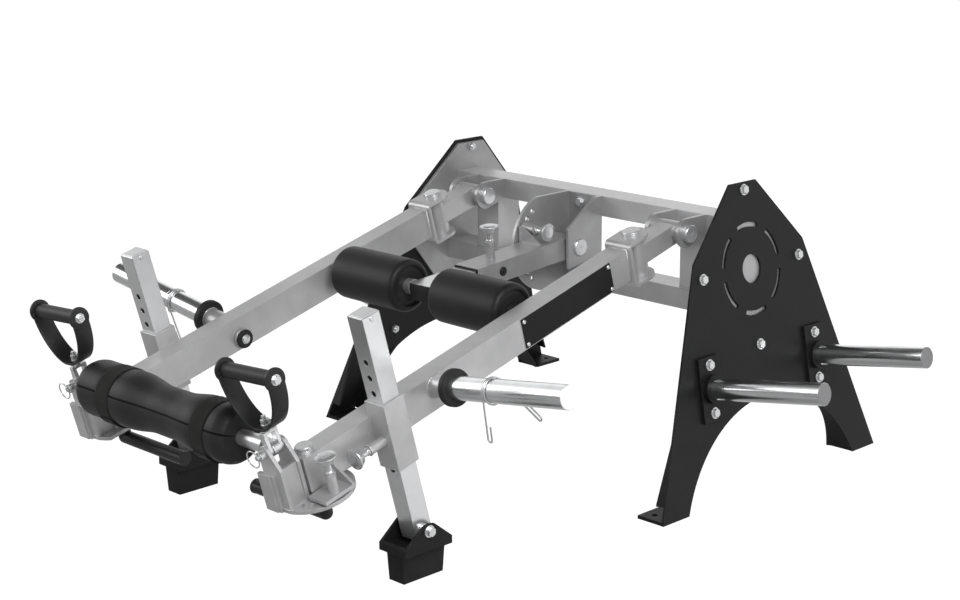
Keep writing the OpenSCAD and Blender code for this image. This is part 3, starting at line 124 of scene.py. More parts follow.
class Finish:
    """A material whose nodes come from one method."""

    def __init__(self, name, colour, **fixed):
        self.material = bpy.data.materials.new(name)
        self.material.use_nodes = True
        self.tree = self.material.node_tree
        self.shader = self.tree.nodes["Principled BSDF"]
        self.shader.inputs["Base Color"].default_value = (*colour, 1)
        for key, value in fixed.items():
            self.shader.inputs[key.replace("_", " ")].default_value = value
        self.place = self.node("ShaderNodeTexCoord", output="Object")

    def node(self, kind, settings=(), values=(), output=0):
        made = self.tree.nodes.new(kind)
        for key, value in dict(settings).items():
            setattr(made, key, value)
        for key, value in dict(values).items():
            if isinstance(value, Value):
                self.tree.links.new(value.socket, made.inputs[key])
            else:
                made.inputs[key].default_value = value
        return Value(self, made.outputs[output])

    def number(self, value):
        return self.node("ShaderNodeMath", {"operation": "ADD"}, {0: value, 1: 0.0})

    def put(self, key, value):
        self.tree.links.new(value.socket, self.shader.inputs[key])

    def noise(self, scale, detail=3.0, rough=0.55, stretch=None):
        at = self.place
        if stretch:
            at = self.node("ShaderNodeMapping", {}, {"Vector": at, "Scale": stretch})
        return self.node("ShaderNodeTexNoise", {}, {"Vector": at, "Scale": scale, "Detail": detail,
                                                    "Roughness": rough})

    def axes(self):
        parts = self.node("ShaderNodeSeparateXYZ", {}, {0: self.place})
        sockets = parts.socket.node.outputs
        return [Value(self, sockets[i]) for i in range(3)]

    def mix(self, amount, first, second):
        values = {0: amount}
        for slot, shade in ((MIX_A, first), (MIX_B, second)):
            values[slot] = shade if isinstance(shade, Value) else (*shade, 1)
        return self.node("ShaderNodeMix", {"data_type": "RGBA"}, values, output=MIX_RESULT)

    def rounded(self, radius):
        """Normals as if each edge were rounded off."""
        return self.node("ShaderNodeBevel", {"samples": 6}, {"Radius": radius})

    def edges(self, soft):
        """1 on the edges that soft rounds off, 0 on the faces."""
        flat = self.node("ShaderNodeNewGeometry", output="Normal")
        near = self.node("ShaderNodeVectorMath", {"operation": "DOT_PRODUCT"}, {0: soft, 1: flat},
                         output="Value")
        return (1.0 - near).between(0.01, 0.22)

    def bump(self, height, strength, distance, soft=None):
        values = {"Height": height, "Strength": strength, "Distance": distance}
        if soft is not None:
            values["Normal"] = soft
        return self.node("ShaderNodeBump", {}, values)


def paint(name, colour, bright, rough, metal, peel, edge_wear_and_highlight, radius=0.0018, coat=0.25, shine=0.5):
    """Powder coat: fine peel, clouded gloss, and edges made lighter in patches, partly as rubbed wear and
    partly as a painted highlight.
    """
    made = Finish(name, colour, Coat_Roughness=0.22, Specular_IOR_Level=shine)
    soft = made.rounded(radius)
    edge = made.edges(soft)
    cloud = made.noise(5.5, 4.0, 0.6).between(0.3, 0.72)
    flakes = made.noise(1400.0, 1.0, 0.5)
    grain = made.noise(330.0, 3.0, 0.62)
    tone = made.mix(cloud, colour, bright)
    fleck = made.mix((flakes - 0.56).maths("MULTIPLY", 2.2, clamp=True) * metal, tone, bright)
    # Edges made lighter in patches: partly rubbed wear, partly a painted highlight along the edges
    worn_and_lit_edge = (edge * made.noise(48.0, 3.0, 0.7).between(0.42, 0.62)) * 0.55
    made.put("Base Color", made.mix(worn_and_lit_edge, fleck, edge_wear_and_highlight))
    made.put("Roughness", (cloud * 0.07 + grain * 0.08 + rough).clamped())
    made.put("Metallic", made.number(metal) - edge * 0.1)
    made.put("Coat Weight", made.number(coat) - worn_and_lit_edge * 0.2)
    made.put("Normal", made.bump(grain, peel, 0.0004, soft))
    return made.material


def metal(name, colour, rough, brush=0.0, along=(1.0, 1.0, 1.0), radius=0.0009, smudge=0.05, pure=1.0):
    """Bare or plated metal: fine brushing, faint smears and soft edges."""
    made = Finish(name, colour)
    soft = made.rounded(radius)
    lines = made.noise(420.0, 2.0, 0.6, along)
    smear = made.noise(11.0, 4.0, 0.62).between(0.38, 0.72)
    dull = tuple(c * 0.86 for c in colour)
    made.put("Base Color", made.mix(smear * 0.5 + lines * 0.22, colour, dull))
    made.put("Roughness", (smear * smudge + lines * (0.04 + brush * 0.2) + rough).clamped())
    made.put("Metallic", made.number(pure) - smear * 0.03)
    made.put("Normal", made.bump(lines, 0.02 + brush * 0.22, 0.0003, soft))
    return made.material


def rubber(name, colour, rough, grain_scale, depth, ribs=None):
    """Moulded rubber: matt skin with a fine grain."""
    made = Finish(name, colour, Specular_IOR_Level=0.28)
    soft = made.rounded(0.0012)
    grain = made.noise(grain_scale, 4.0, 0.7)
    dust = made.noise(9.0, 4.0, 0.6).between(0.45, 0.75)
    pale = tuple(min(1.0, c * 1.9 + 0.004) for c in colour)
    made.put("Base Color", made.mix(dust * 0.55 + grain * 0.2, colour, pale))
    made.put("Roughness", (rough + dust * 0.12 + grain * 0.06).clamped())
    height = grain if ribs is None else grain * 0.3 + ribs(made)
    made.put("Normal", made.bump(height, depth, 0.0008, soft))
    return made.material


def foam_skin(name, colour, rough, seam=None):
    """Dipped foam: a soft closed skin with pores and shallow dents."""
    made = Finish(name, colour, Sheen_Weight=0.03, Sheen_Roughness=0.5, Specular_IOR_Level=0.23)
    pores = made.node("ShaderNodeTexVoronoi", {"feature": "F1"}, {"Vector": made.place, "Scale": 520.0},
                      output="Distance")
    dents = made.noise(16.0, 3.0, 0.5)
    haze = made.noise(7.0, 4.0, 0.6).between(0.35, 0.75)
    pale = tuple(c * 1.5 + 0.004 for c in colour)
    tone = made.mix(haze * 0.6, colour, pale)
    height = pores * 0.12 + dents * 1.2
    rough_now = rough + haze * 0.1 + pores * 0.1
    if seam is not None:
        line = seam(made)
        rough_now = rough_now + line * 0.6
        tone = made.mix(line, tone, tuple(c * 0.02 for c in colour))
        height = height - line * 0.5
    made.put("Base Color", tone)
    made.put("Roughness", rough_now.clamped())
    made.put("Normal", made.bump(height, 0.34, 0.0016))
    return made.material


def webbing(name, colour):
    """Woven strap round the padded bar: threads both ways, with fuzz and wear."""
    made = Finish(name, colour, Sheen_Weight=0.04, Sheen_Roughness=0.6, Specular_IOR_Level=0.12)
    x, y, z = made.axes()
    dy, dz = y - BAR.y, z - BAR.z
    turn = made.node("ShaderNodeMath", {"operation": "ARCTAN2"}, {0: dz, 1: dy})
    warp = (x * (2 * math.pi / WARP)).sine()
    weft = (turn * (PAD_R * 2 * math.pi / WEFT)).sine()
    rib = warp * weft * 0.5 + 0.5
    fuzz = made.noise(900.0, 3.0, 0.7)
    wear = made.noise(26.0, 3.0, 0.6).between(0.4, 0.7)
    light = tuple(c * 2.3 + 0.006 for c in colour)
    made.put("Base Color", made.mix(rib * 0.55 + fuzz * 0.25, colour, light))
    made.put("Roughness", (0.72 + wear * 0.12 + rib * 0.06).clamped())
    made.put("Normal", made.bump(rib * 0.8 + fuzz * 0.3, 0.55, 0.0009))
    return made.material


def tilted(origin, pitch, lean=0.0):
    """Place of a frame that is pitched about X, then leaned about its own Y."""
    turned = Matrix.Rotation(pitch, 4, "X") @ Matrix.Rotation(lean, 4, "Y")
    return Matrix.Translation(Vector(origin)) @ turned


# Finishes

arm_grey = paint("silver_grey_powder_coat", (0.40, 0.40, 0.405), (0.53, 0.53, 0.535),
                 rough=0.32, metal=0.50, peel=0.10, edge_wear_and_highlight=(0.66, 0.66, 0.67))
# A darker copy of the silver-grey powder coat: painted shade on the parts inside the frame and on the beam
# welds
painted_shade_grey = paint("powder_coat_painted_shade", (0.30, 0.30, 0.305), (0.42, 0.42, 0.425),
                   rough=0.32, metal=0.50, peel=0.10, edge_wear_and_highlight=(0.58, 0.58, 0.59))
plate_black = paint("charcoal_powder_coat", (0.0070, 0.0071, 0.0074), (0.0120, 0.0121, 0.0125),
                    rough=0.40, metal=0.02, peel=0.16, edge_wear_and_highlight=(0.085, 0.085, 0.09),
                    radius=0.0015, coat=0.02, shine=0.16)
grip_black = paint("black_tube_paint", (0.011, 0.011, 0.0115), (0.020, 0.020, 0.021),
                   rough=0.34, metal=0.1, peel=0.08, edge_wear_and_highlight=(0.10, 0.10, 0.105),
                   radius=0.002, coat=0.10, shine=0.3)
panel_black = paint("panel_paint", (0.011, 0.011, 0.0115), (0.017, 0.017, 0.018),
                    rough=0.46, metal=0.05, peel=0.3, edge_wear_and_highlight=(0.07, 0.07, 0.07),
                    radius=0.001, coat=0.0, shine=0.14)
chrome = metal("bright_chrome", (0.86, 0.87, 0.875), rough=0.16, brush=0.01, along=(0.05, 1.0, 1.0))
post_steel = metal("satin_post_steel", (0.74, 0.745, 0.75), rough=0.26, brush=0.02, along=(1.0, 1.0, 0.03),
                   radius=0.0022, pure=0.86)
# Near-white cap finish for the lever horn ends: a painted highlight
painted_highlight_end = metal("horn_end_painted_highlight", (0.93, 0.93, 0.935), rough=0.42, brush=0.02, pure=0.4)
# Grey cap finish for the storage horn ends: painted shade
painted_shade_end = metal("horn_end_painted_shade", (0.30, 0.30, 0.305), rough=0.45, brush=0.05)
zinc = metal("zinc_plate", (0.64, 0.645, 0.65), rough=0.20, brush=0.06, radius=0.0011, pure=0.72)
black_rubber = rubber("black_rubber", (0.010, 0.010, 0.0104), rough=0.5, grain_scale=260.0, depth=0.2)
grip_rubber = rubber("ribbed_grip_rubber", (0.016, 0.016, 0.0165), rough=0.44, grain_scale=320.0, depth=0.35,
                     ribs=lambda made: (made.axes()[0] * (2 * math.pi / GRIP_RIB)).sine() * 0.35)
boot_black = paint("boot_paint", (0.009, 0.0091, 0.0095), (0.016, 0.016, 0.0165),
                   rough=0.42, metal=0.05, peel=0.22, edge_wear_and_highlight=(0.06, 0.06, 0.06),
                   radius=0.0028, coat=0.0, shine=0.12)


def pad_seam(made):
    """Dark line along the front of the pad, a little above its middle."""
    _, y, z = made.axes()
    turn = made.node("ShaderNodeMath", {"operation": "ARCTAN2"}, {0: z - BAR.z, 1: BAR.y - y})
    off = (turn - PAD_SEAM).size()
    return 1.0 - off.between(0.024, 0.050)


pad_skin = foam_skin("pad_skin", (0.0125, 0.0124, 0.0122), 0.42, pad_seam)
roller_skin = foam_skin("roller_skin", (0.0095, 0.0094, 0.0092), 0.38)
strap_weave = webbing("strap_webbing", (0.0070, 0.0066, 0.0060))

DRESS = {
    arm_grey: ["left_link", "right_link", "left_arm", "right_arm", "left_head", "right_head",
               "cross_beams", "uprights"],
    # Parts inside the frame take the darker copy of the coat, which carries painted shade
    painted_shade_grey: ["end_plates", "lift_clevises", "centre_bracket", "centre_arm"],
    plate_black: ["left_side_plate", "right_side_plate", "horn_brackets"],
    panel_black: ["left_name_panel", "right_name_panel"],
    boot_black: ["left_boot", "right_boot"],
    grip_black: ["left_grip_bar", "right_grip_bar", "left_handle_strap", "right_handle_strap"],
    chrome: ["storage_horns", "left_lever_horn", "right_lever_horn"],
    post_steel: ["left_post", "right_post", "inner_tube", "left_shackle", "right_shackle", "pad_bar"],
    zinc: ["frame_bolts", "pivot_pins", "left_arm_pins", "right_arm_pins", "left_panel_screws",
           "right_panel_screws", "left_spring_clip", "right_spring_clip", "left_post_pin", "right_post_pin",
           "left_boot_bolt", "right_boot_bolt", "left_head_pin", "right_head_pin", "left_lock_pin",
           "right_lock_pin", "left_handle_bolts", "right_handle_bolts", "index_knob", "centre_pin"],
    black_rubber: ["left_arm_rubbers", "right_arm_rubbers"],
    grip_rubber: ["left_handle_grip", "right_handle_grip"],
    pad_skin: ["pad_foam"],
    roller_skin: ["left_roller", "right_roller"],
    strap_weave: ["pad_straps"],
}
for finish, dressed in DRESS.items():
    for name in dressed:
        slots = NODES[name].material_slots
        if not slots:
            NODES[name].data.materials.append(finish)
        for slot in slots:
            slot.material = finish


# Pieces

def piece(name, mesh_maker, finish, place, body, smooth=math.radians(35)):
    """A new object from a bmesh, with its place in its mesh."""
    shape = bmesh.new()
    mesh_maker(shape)
    bmesh.ops.remove_doubles(shape, verts=shape.verts, dist=1e-6)
    bmesh.ops.recalc_face_normals(shape, faces=shape.faces)
    bmesh.ops.transform(shape, matrix=place, verts=shape.verts)
    data = bpy.data.meshes.new(name)
    shape.to_mesh(data)
    shape.free()
    data.polygons.foreach_set("use_smooth", [True] * len(data.polygons))
    data.set_sharp_from_angle(angle=smooth)
    made = bpy.data.objects.new(name, data)
    scene.collection.objects.link(made)
    data.materials.append(finish)
    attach(made, body)
    return made


def lathe(profile, steps):
    """Spins a closed line of (x, radius) points about the X axis."""
    def make(shape):
        points = [shape.verts.new((x, 0.0, r)) for x, r in profile]
        edges = [shape.edges.new(pair) for pair in zip(points, points[1:] + points[:1])]
        bmesh.ops.spin(shape, geom=points + edges, cent=(0, 0, 0), axis=(1, 0, 0), dvec=(0, 0, 0),
                       angle=2 * math.pi, steps=steps, use_merge=True, use_duplicate=False)
    return make


def smoothstep(t):
    """0 up to 0, 1 from 1 on and smooth in between."""
    t = max(0.0, min(1.0, t))
    return t * t * (3 - 2 * t)


def pad_radius(x):
    """Radius of the pad at x from its left end: two lobes, a waist and rounded ends."""
    near = min(x, PAD_LEN - x)
    lobe = WAIST_R + (PAD_R - WAIST_R) * smoothstep((abs(x - WAIST_AT) - WAIST_FLAT) / WAIST_SLOPE)
    if near < PAD_ROUND:
        return PAD_END_R + (lobe - PAD_END_R) * math.sin(math.pi / 2 * near / PAD_ROUND) ** 0.6
    return lobe


def pad_mesh(shape):
    """The pad round its bar, dented in long waves, drawn in by the straps and puckered at its ends."""
    steps, bore, face = 150, BAR_R + 0.0004, PAD_END_R - 0.006
    xs = [PAD_LEN * (0.5 - 0.5 * math.cos(i * math.pi / steps)) for i in range(steps + 1)]
    outside = [(x, pad_radius(x)) for x in xs]
    lathe([(0.0, bore), (0.0, face), *outside[1:-1], (PAD_LEN, face), (PAD_LEN, bore)], 144)(shape)
    for vert in shape.verts:
        r = math.hypot(vert.co.y, vert.co.z)
        if r < BAR_R + 0.002:
            continue
        turn = math.atan2(vert.co.z, vert.co.y)
        x = vert.co.x
        dent = (math.sin(x * 61 + turn * 2) * 0.5 + math.sin(x * 23 - turn * 3 + 1.1)) * 0.00035
        pull = sum(math.exp(-((x - at) / 0.006) ** 2) for at in STRAP_EDGES) * 0.0008
        pucker = math.exp(-min(x, PAD_LEN - x) / 0.012) * math.sin(turn * 16) * 0.0005
        move = -pull + dent + pucker
        vert.co.y *= 1 + move / r
        vert.co.z *= 1 + move / r


pad_place = tilted(BAR, ARM_PITCH) @ Matrix.Translation((PAD_START, 0, 0))
pad = piece("pad_cover", pad_mesh, pad_skin, pad_place, "left_head", math.radians(60))
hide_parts("pad_foam")


def strap_mesh(at):
    """Band round the pad, thinner at both selvedges."""
    def make(shape):
        steps = 26
        top = []
        for i in range(steps + 1):
            x = at + STRAP_W * i / steps
            edge = min(i, steps - i) / steps
            top.append((x, pad_radius(x) + STRAP_T * (0.55 + 0.45 * min(1, edge / 0.06))))
        under = [(x, pad_radius(x) - 0.0006) for x, _ in reversed(top)]
        lathe(top + under, 120)(shape)
    return make


def flap_mesh(at):
    """Loose end of the strap, laid over itself and stitched down."""
    def make(shape):
        rows, across, inset = 26, 12, 0.0012
        first, span = 200, 62
        grid = []
        for i in range(rows + 1):
            turn = math.radians(first + span * i / rows)
            line = []
            for j in range(across + 1):
                x = at + inset + (STRAP_W - 2 * inset) * j / across
                lift = 0.0010 + 0.0022 * smoothstep((i / rows - 0.85) / 0.15)
                r = pad_radius(x) + STRAP_T + lift
                line.append(shape.verts.new((x, r * math.cos(turn), r * math.sin(turn))))
            grid.append(line)
        for low, high in zip(grid, grid[1:]):
            for a, b, c, d in zip(low, low[1:], high[1:], high):
                shape.faces.new((a, b, c, d))
        bmesh.ops.recalc_face_normals(shape, faces=shape.faces)
        bmesh.ops.solidify(shape, geom=shape.faces[:], thickness=-0.0014)
    return make


for index, at in enumerate(STRAP_AT):
    strap = piece(f"pad_strap_{index}", strap_mesh(at), strap_weave, pad_place, "left_head")
    piece(f"strap_end_{index}", flap_mesh(at), strap_weave, pad_place, "left_head")
    if index == 0:
        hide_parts("pad_straps")

# Rollers

centre_place = tilted((0, MID_Y, MID_Z), MID_PITCH)
axle_place = centre_place @ Matrix.Translation((0, -(OUTER_LEN + INNER_OUT - AXLE_BACK), 0))


def roller_mesh(side):
    """Foam tube with round shoulders and, in each face, a groove and a dish round the axle."""
    def make(shape):
        bore, inner, outer = AXLE_R + 0.0001, AXLE_R + 0.009, AXLE_R + 0.007
        turns = [math.radians(a) for a in range(0, 91, 9)]
        corner = [(ROLLER_ROUND * math.cos(t), ROLLER_R - ROLLER_ROUND + ROLLER_ROUND * math.sin(t))
                  for t in turns]
        groove = [(0.0035, ROLLER_R * 0.60), (0.0035, ROLLER_R * 0.64),
                  (0.0058, ROLLER_R * 0.70), (0.0058, ROLLER_R * 0.74)]
        rows = [(0.0143, inner), (0.008, inner), *groove]
        rows += [(ROLLER_ROUND - x, r) for x, r in corner]
        rows += [(x, ROLLER_R + 0.0004 * math.sin(math.pi * x / ROLLER_LEN))
                 for x in [0.03, 0.06, 0.09, 0.108, 0.126, 0.156, 0.186]]
        rows += [(ROLLER_LEN - ROLLER_ROUND + x, r) for x, r in reversed(corner)]
        rows += [(ROLLER_LEN - x, r) for x, r in reversed(groove)]
        rows += [(ROLLER_LEN - 0.006, outer), (ROLLER_LEN - 0.0103, outer), (ROLLER_LEN - 0.0103, bore),
                 (0.0143, bore)]
        lathe(rows, 96)(shape)
        if side < 0:
            bmesh.ops.scale(shape, vec=(-1, 1, 1), verts=shape.verts)
            bmesh.ops.translate(shape, vec=(-ROLLER_GAP / 2, 0, 0), verts=shape.verts)
        else:
            bmesh.ops.translate(shape, vec=(ROLLER_GAP / 2, 0, 0), verts=shape.verts)
    return make


for side, hand in SIDES:
    name = hand + "_roller"
    roller = piece(name + "_cover", roller_mesh(side), roller_skin, axle_place, name,
                   math.radians(40))
    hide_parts(name)

# Spring clips, D-handle bands and weld beads


def arm_place(side):
    """A lever arm's frame at its lift pin, with x pointing outward on both sides."""
    return tilted((side * ARM_X, LIFT_Y, LIFT_Z), ARM_PITCH) @ Matrix.Diagonal((side, 1, 1, 1))


def on_arm(side, out, along, up):
    """Place on a lever arm, from its lift pin: outward, forward along the arm, and up from it."""
    return arm_place(side) @ Matrix.Translation((out, -along, up))


def horn_place(side, out):
    """Place on a lever horn's axis, out from its root."""
    return (on_arm(side, ARM_HALF_W, HORN_A, HORN_C) @ Matrix.Rotation(-HORN_TILT, 4, "Y")
            @ Matrix.Translation((out, 0, 0)))


def wire_piece(name, lines, thickness, finish, body):
    """Round wire along each line of points."""
    data = bpy.data.curves.new(name, "CURVE")
    data.dimensions = "3D"
    data.bevel_depth, data.bevel_resolution, data.use_fill_caps = thickness, 4, True
    for line in lines:
        spline = data.splines.new("POLY")
        spline.points.add(len(line) - 1)
        for point, at in zip(spline.points, line):
            point.co = (*at, 1)
    made = bpy.data.objects.new(name, data)
    scene.collection.objects.link(made)
    data.materials.append(finish)
    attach(made, body)
    return made


def clip_line():
    """A turn and a half of wire round the horn, with a bent leg at each end."""
    steps = 48
    coil = []
    for i in range(steps * 3 // 2 + 1):
        t = math.pi - i * 2 * math.pi / steps
        coil.append(Vector((i * CLIP_STEP / steps, CLIP_R * math.cos(t), CLIP_R * math.sin(t))))

    def leg(start, along, over):
        u, w = along.normalized(), CLIP_PIN_W / 2
        tip = start + (CLIP_LEG - w) * u
        line = [start + f * (CLIP_LEG - w) * u for f in (0.08, 0.3, 0.6, 0.85, 1)]
        line += [tip + w * ((1 - math.cos(a)) * over + math.sin(a) * u)
                 for a in [math.radians(k) for k in range(15, 180, 15)]]
        return line + [tip + 2 * w * over - f * (CLIP_PIN_LEN - w) * u for f in (0, 0.5, 1)]

    first = leg(coil[0], Vector((-0.28, 0, -0.96)), Vector((0.96, 0, -0.28)))
    last = leg(coil[-1], Vector((0.68, 0, -0.73)), Vector((0.73, 0, 0.68)))
    return first[::-1] + coil + last


for side, hand in SIDES:
    on_horn = horn_place(side, CLIP_AT)
    clip = wire_piece(hand + "_clip_wire", [[on_horn @ at for at in clip_line()]], CLIP_WIRE, zinc,
                      hand + "_spring_clip")
    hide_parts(hand + "_spring_clip")


def curve_point(points, t):
    """Point of a curve through the first and last of four points, drawn toward the others."""
    shares = ((1 - t) ** 3, 3 * (1 - t) ** 2 * t, 3 * (1 - t) * t * t, t ** 3)
    return sum((Vector(p) * k for p, k in zip(points, shares)), Vector((0, 0)))


def skin(shape, rings):
    """Faces between each ring of four points and the next."""
    for low, high in zip(rings, rings[1:]):
        for k in range(4):
            shape.faces.new((low[k], low[(k + 1) % 4], high[(k + 1) % 4], high[k]))


def band_mesh(shape):
    """Flat band bent into the D, with a round ear at each end of the grip."""
    bend = [(0.011, 0.050), (0.044, 0.054), (EAR_OUT, GRIP_UP - 0.062), (EAR_OUT - BAND_T / 2, GRIP_UP)]
    half = [curve_point(bend, i / 36) for i in range(37)]
    line = [Vector((-p.x, p.y)) for p in reversed(half)] + half
    rows = []
    for i, at in enumerate(line):
        run = (line[min(i + 1, len(line) - 1)] - line[max(i - 1, 0)]).normalized()
        off = Vector((run.y, -run.x)) * BAND_T / 2
        rows.append([shape.verts.new((p.x, y, p.y)) for p, y in
                     ((at + off, -BAND_W / 2), (at + off, BAND_W / 2), (at - off, BAND_W / 2),
                      (at - off, -BAND_W / 2))])
    skin(shape, rows)
    shape.faces.new(rows[0])
    shape.faces.new(rows[-1])
    for k in (-1, 1):
        middle = Matrix.Translation((k * (EAR_OUT - BAND_T / 2), 0, GRIP_UP))
        bmesh.ops.create_cone(shape, cap_ends=True, segments=72, radius1=EAR_R, radius2=EAR_R, depth=BAND_T,
                              matrix=middle @ Matrix.Rotation(math.pi / 2, 4, "Y"))
    bmesh.ops.recalc_face_normals(shape, faces=shape.faces)
    sharp = [e for e in shape.edges if len(e.link_faces) == 2 and e.calc_face_angle(0) > math.radians(60)]
    bmesh.ops.bevel(shape, geom=sharp, offset=0.0008, affect="EDGES", segments=2, profile=0.5, material=-1)


for side, hand in SIDES:
    lock = Vector((side * ARM_X + LOCK_X, BAR.y, BAR.z))
    band = piece(hand + "_handle_band", band_mesh, grip_black, tilted(lock, ARM_PITCH, -HANDLE_LEAN),
                 hand + "_handle")
    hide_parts(hand + "_handle_strap")


def ring(at, radius):
    """Points of a closed circle about the X axis."""
    turns = [2 * math.pi * i / 40 for i in range(41)]
    return [Vector(at) + Vector((0, radius * math.cos(t), radius * math.sin(t))) for t in turns]


def rim(half_w, along, half_h):
    """Closed rectangle round the arm's axis."""
    corners = ((-half_w, -half_h), (half_w, -half_h), (half_w, half_h), (-half_w, half_h), (-half_w, -half_h))
    return [Vector((x, -along, z)) for x, z in corners]


# Where the weld beads lie along the arm: at its rear mouth, on the sleeve's sides and at the gusset
MOUTH_A, SLEEVE_A, GUSSET_A = 0.1842, (0.989, 0.933), 1.100
# The head's two beads: how far along, and from where to where across; both at one height
HEAD_BEADS, HEAD_C = ((1.1762, -0.036, 0.012), (1.2202, -0.044, 0.019)), -0.0495
for side, hand in SIDES:
    place = arm_place(side)
    seams = [rim(ARM_HALF_W, MOUTH_A, ARM_HALF_H), ring((0.0262, -HORN_A, HORN_C), 0.0245)]
    seams += [[Vector((0.0262, -a, z)) for z in (-0.037, 0.037)] for a in SLEEVE_A]
    seams.append([Vector((x, -GUSSET_A, -ARM_HALF_H)) for x in (ARM_HALF_W, 0.078)])
    wire_piece(hand + "_arm_welds", [[place @ at for at in line] for line in seams], 0.0022, arm_grey,
               hand + "_arm")
    place = tilted((side * ARM_X, LIFT_Y, LIFT_Z), ARM_PITCH)
    seams = [[Vector((x, -a, HEAD_C)) for x in span] for a, *span in HEAD_BEADS]
    wire_piece(hand + "_head_welds", [[place @ at for at in line] for line in seams], 0.002, arm_grey,
               hand + "_head")
beam_seams = []
for side in (-1, 1):
    for x in UPRIGHT_SIDES:
        for z in BEAM_MEETS:
            beam_seams.append([Vector((side * x, SHIFT_Y + y, z)) for y in (-BEAM_HALF, BEAM_HALF)])
    for z in BEAM_MEETS:
        beam_seams.append([Vector((side * x, SHIFT_Y - 0.0382, z)) for x in (0.301, 0.374)])
# Beads on the beams, in the darker copy of the coat that carries painted shade
wire_piece("beam_welds", beam_seams, 0.0022, painted_shade_grey, "frame")

# Trim: the inner tube's end block, the centre arm's mouth and side bolt, bumpers, plugs and horn ends


def box_mesh(low, high):
    """Box between two corners, with its edges rounded off."""
    def make(shape):
        size = Vector(high) - Vector(low)
        middle = (Vector(high) + Vector(low)) / 2
        place = Matrix.Translation(middle) @ Matrix.Diagonal((*size, 1))
        bmesh.ops.create_cube(shape, size=1.0, matrix=place)
        bmesh.ops.bevel(shape, geom=shape.edges[:], offset=0.0008, affect="EDGES", segments=2, profile=0.5,
                        material=-1)
    return make


def mouth_mesh(shape):
    """Black lip between the outer and the inner tube."""
    outer, inner, back, front = (0.0365, 0.0235), (0.0330, 0.0200), -0.3301, -0.3335
    rings = []
    for y, (w, h) in ((back, outer), (front, outer), (front, inner), (back, inner)):
        rings.append([shape.verts.new((i * w, y, k * h)) for i, k in ((-1, -1), (1, -1), (1, 1), (-1, 1))])
    skin(shape, rings + rings[:1])


piece("inner_tube_cap", box_mesh((-0.0329, -0.4816, -0.0199), (0.0329, -0.4700, 0.0192)), black_rubber,
      centre_place, "inner_tube")
piece("centre_arm_mouth", mouth_mesh, black_rubber, centre_place, "centre_arm")
bolt_rows = [(0.0380, 0.0), (0.0380, 0.0105), (0.0405, 0.0105), (0.0412, 0.0098), (0.0412, 0.0072),
             (0.0396, 0.0066), (0.0396, 0.0046), (0.0408, 0.0040), (0.0408, 0.0)]
piece("centre_side_bolt", lathe(bolt_rows, 40), grip_black,
      centre_place @ Matrix.Translation((0, -SIDE_BOLT_A, 0)), "centre_arm")


def horn_end(name, finish, place, body):
    """Thin cap over the end of a horn, carrying the painted light of that end."""
    radius, depth = 0.0243, 0.0009
    rows = [(0.0, 0.0), (0.0, radius), (depth * 0.5, radius), (depth, radius - 0.0004), (depth, 0.0)]
    piece(name, lathe(rows, 72), finish, place, body)


# Profiles of (x, radius), with x pointing out of the face that each piece sits on
bumper_bolt = [(-0.0100, 0.0), (-0.0100, 0.0097), (-0.0002, 0.0106), (0.0004, 0.0110), (0.0016, 0.0110),
               (0.0020, 0.0096), (0.0040, 0.0085), (0.0046, 0.0060), (0.0048, 0.0)]
spacer = [(-0.0088, 0.0), (-0.0088, 0.0216), (-0.0078, 0.0222), (-0.0004, 0.0222), (0.0002, 0.0216),
          (0.0002, 0.0)]
axle_plug = [(-0.0054, 0.0), (-0.0054, 0.0166), (-0.0010, 0.0166), (0.0004, 0.0158), (0.0008, 0.0120),
             (0.0004, 0.0110), (0.0004, 0.0)]
inward = Matrix.Rotation(math.pi, 4, "Z")
for side, hand in SIDES:
    piece(hand + "_bumper_spacer", lathe(spacer, 72), arm_grey,
          on_arm(side, -ARM_HALF_W - SPACER_T, HORN_A, BUMPER_C) @ inward, hand + "_arm")
    plug_place = (axle_place @ Matrix.Diagonal((side, 1, 1, 1))
                  @ Matrix.Translation((ROLLER_GAP / 2 + ROLLER_LEN - 0.004, 0, 0)))
    piece(hand + "_axle_plug", lathe(axle_plug, 60), grip_black, plug_place, "inner_tube")
    piece(hand + "_bumper_bolt", lathe(bumper_bolt, 48), zinc,
          on_arm(side, -ARM_HALF_W - SPACER_T - BUMPER_T, HORN_A, BUMPER_C) @ inward, hand + "_arm")
    # The lever horn's end cap is near-white: painted highlight; the storage horns' end caps are grey: painted
    # shade
    horn_end(hand + "_horn_end", painted_highlight_end, horn_place(side, HORN_LEN), hand + "_arm")
    on_plate = (Matrix.Translation((side * PLATE_X, SHIFT_Y, 0)) @ Matrix.Diagonal((side, 1, 1, 1))
                @ Matrix.Rotation(-SPLAY, 4, "Y"))
    for index, end in enumerate((-1, 1)):
        tip = on_plate @ Matrix.Translation((STORAGE_OUT, end * STORAGE_Y, STORAGE_UP))
        horn_end(f"{hand}_storage_end_{index}", painted_shade_end, tip, "frame")

# Floor, light and camera

FLOOR_HALF, FLOOR_DROP = 30, 0.0005
floor = Finish("white_floor", (0.82, 0.82, 0.82), Roughness=0.9)
glow = floor.node("ShaderNodeEmission", {}, {"Color": (1, 1, 1, 1), "Strength": 1.14})
seen = floor.node("ShaderNodeLightPath", output="Is Camera Ray")
share = floor.node("ShaderNodeMixShader", {},
                   {0: seen * 0.86, 1: Value(floor, floor.shader.outputs[0]), 2: glow})
floor.tree.links.new(share.socket, floor.tree.nodes["Material Output"].inputs["Surface"])
ground = bmesh.new()
bmesh.ops.create_grid(ground, x_segments=1, y_segments=1, size=FLOOR_HALF)
bmesh.ops.translate(ground, vec=(0, 0, -FLOOR_DROP), verts=ground.verts)
floor_mesh = bpy.data.meshes.new("floor")
ground.to_mesh(floor_mesh)
ground.free()
floor_mesh.materials.append(floor.material)
floor_object = bpy.data.objects.new("floor", floor_mesh)
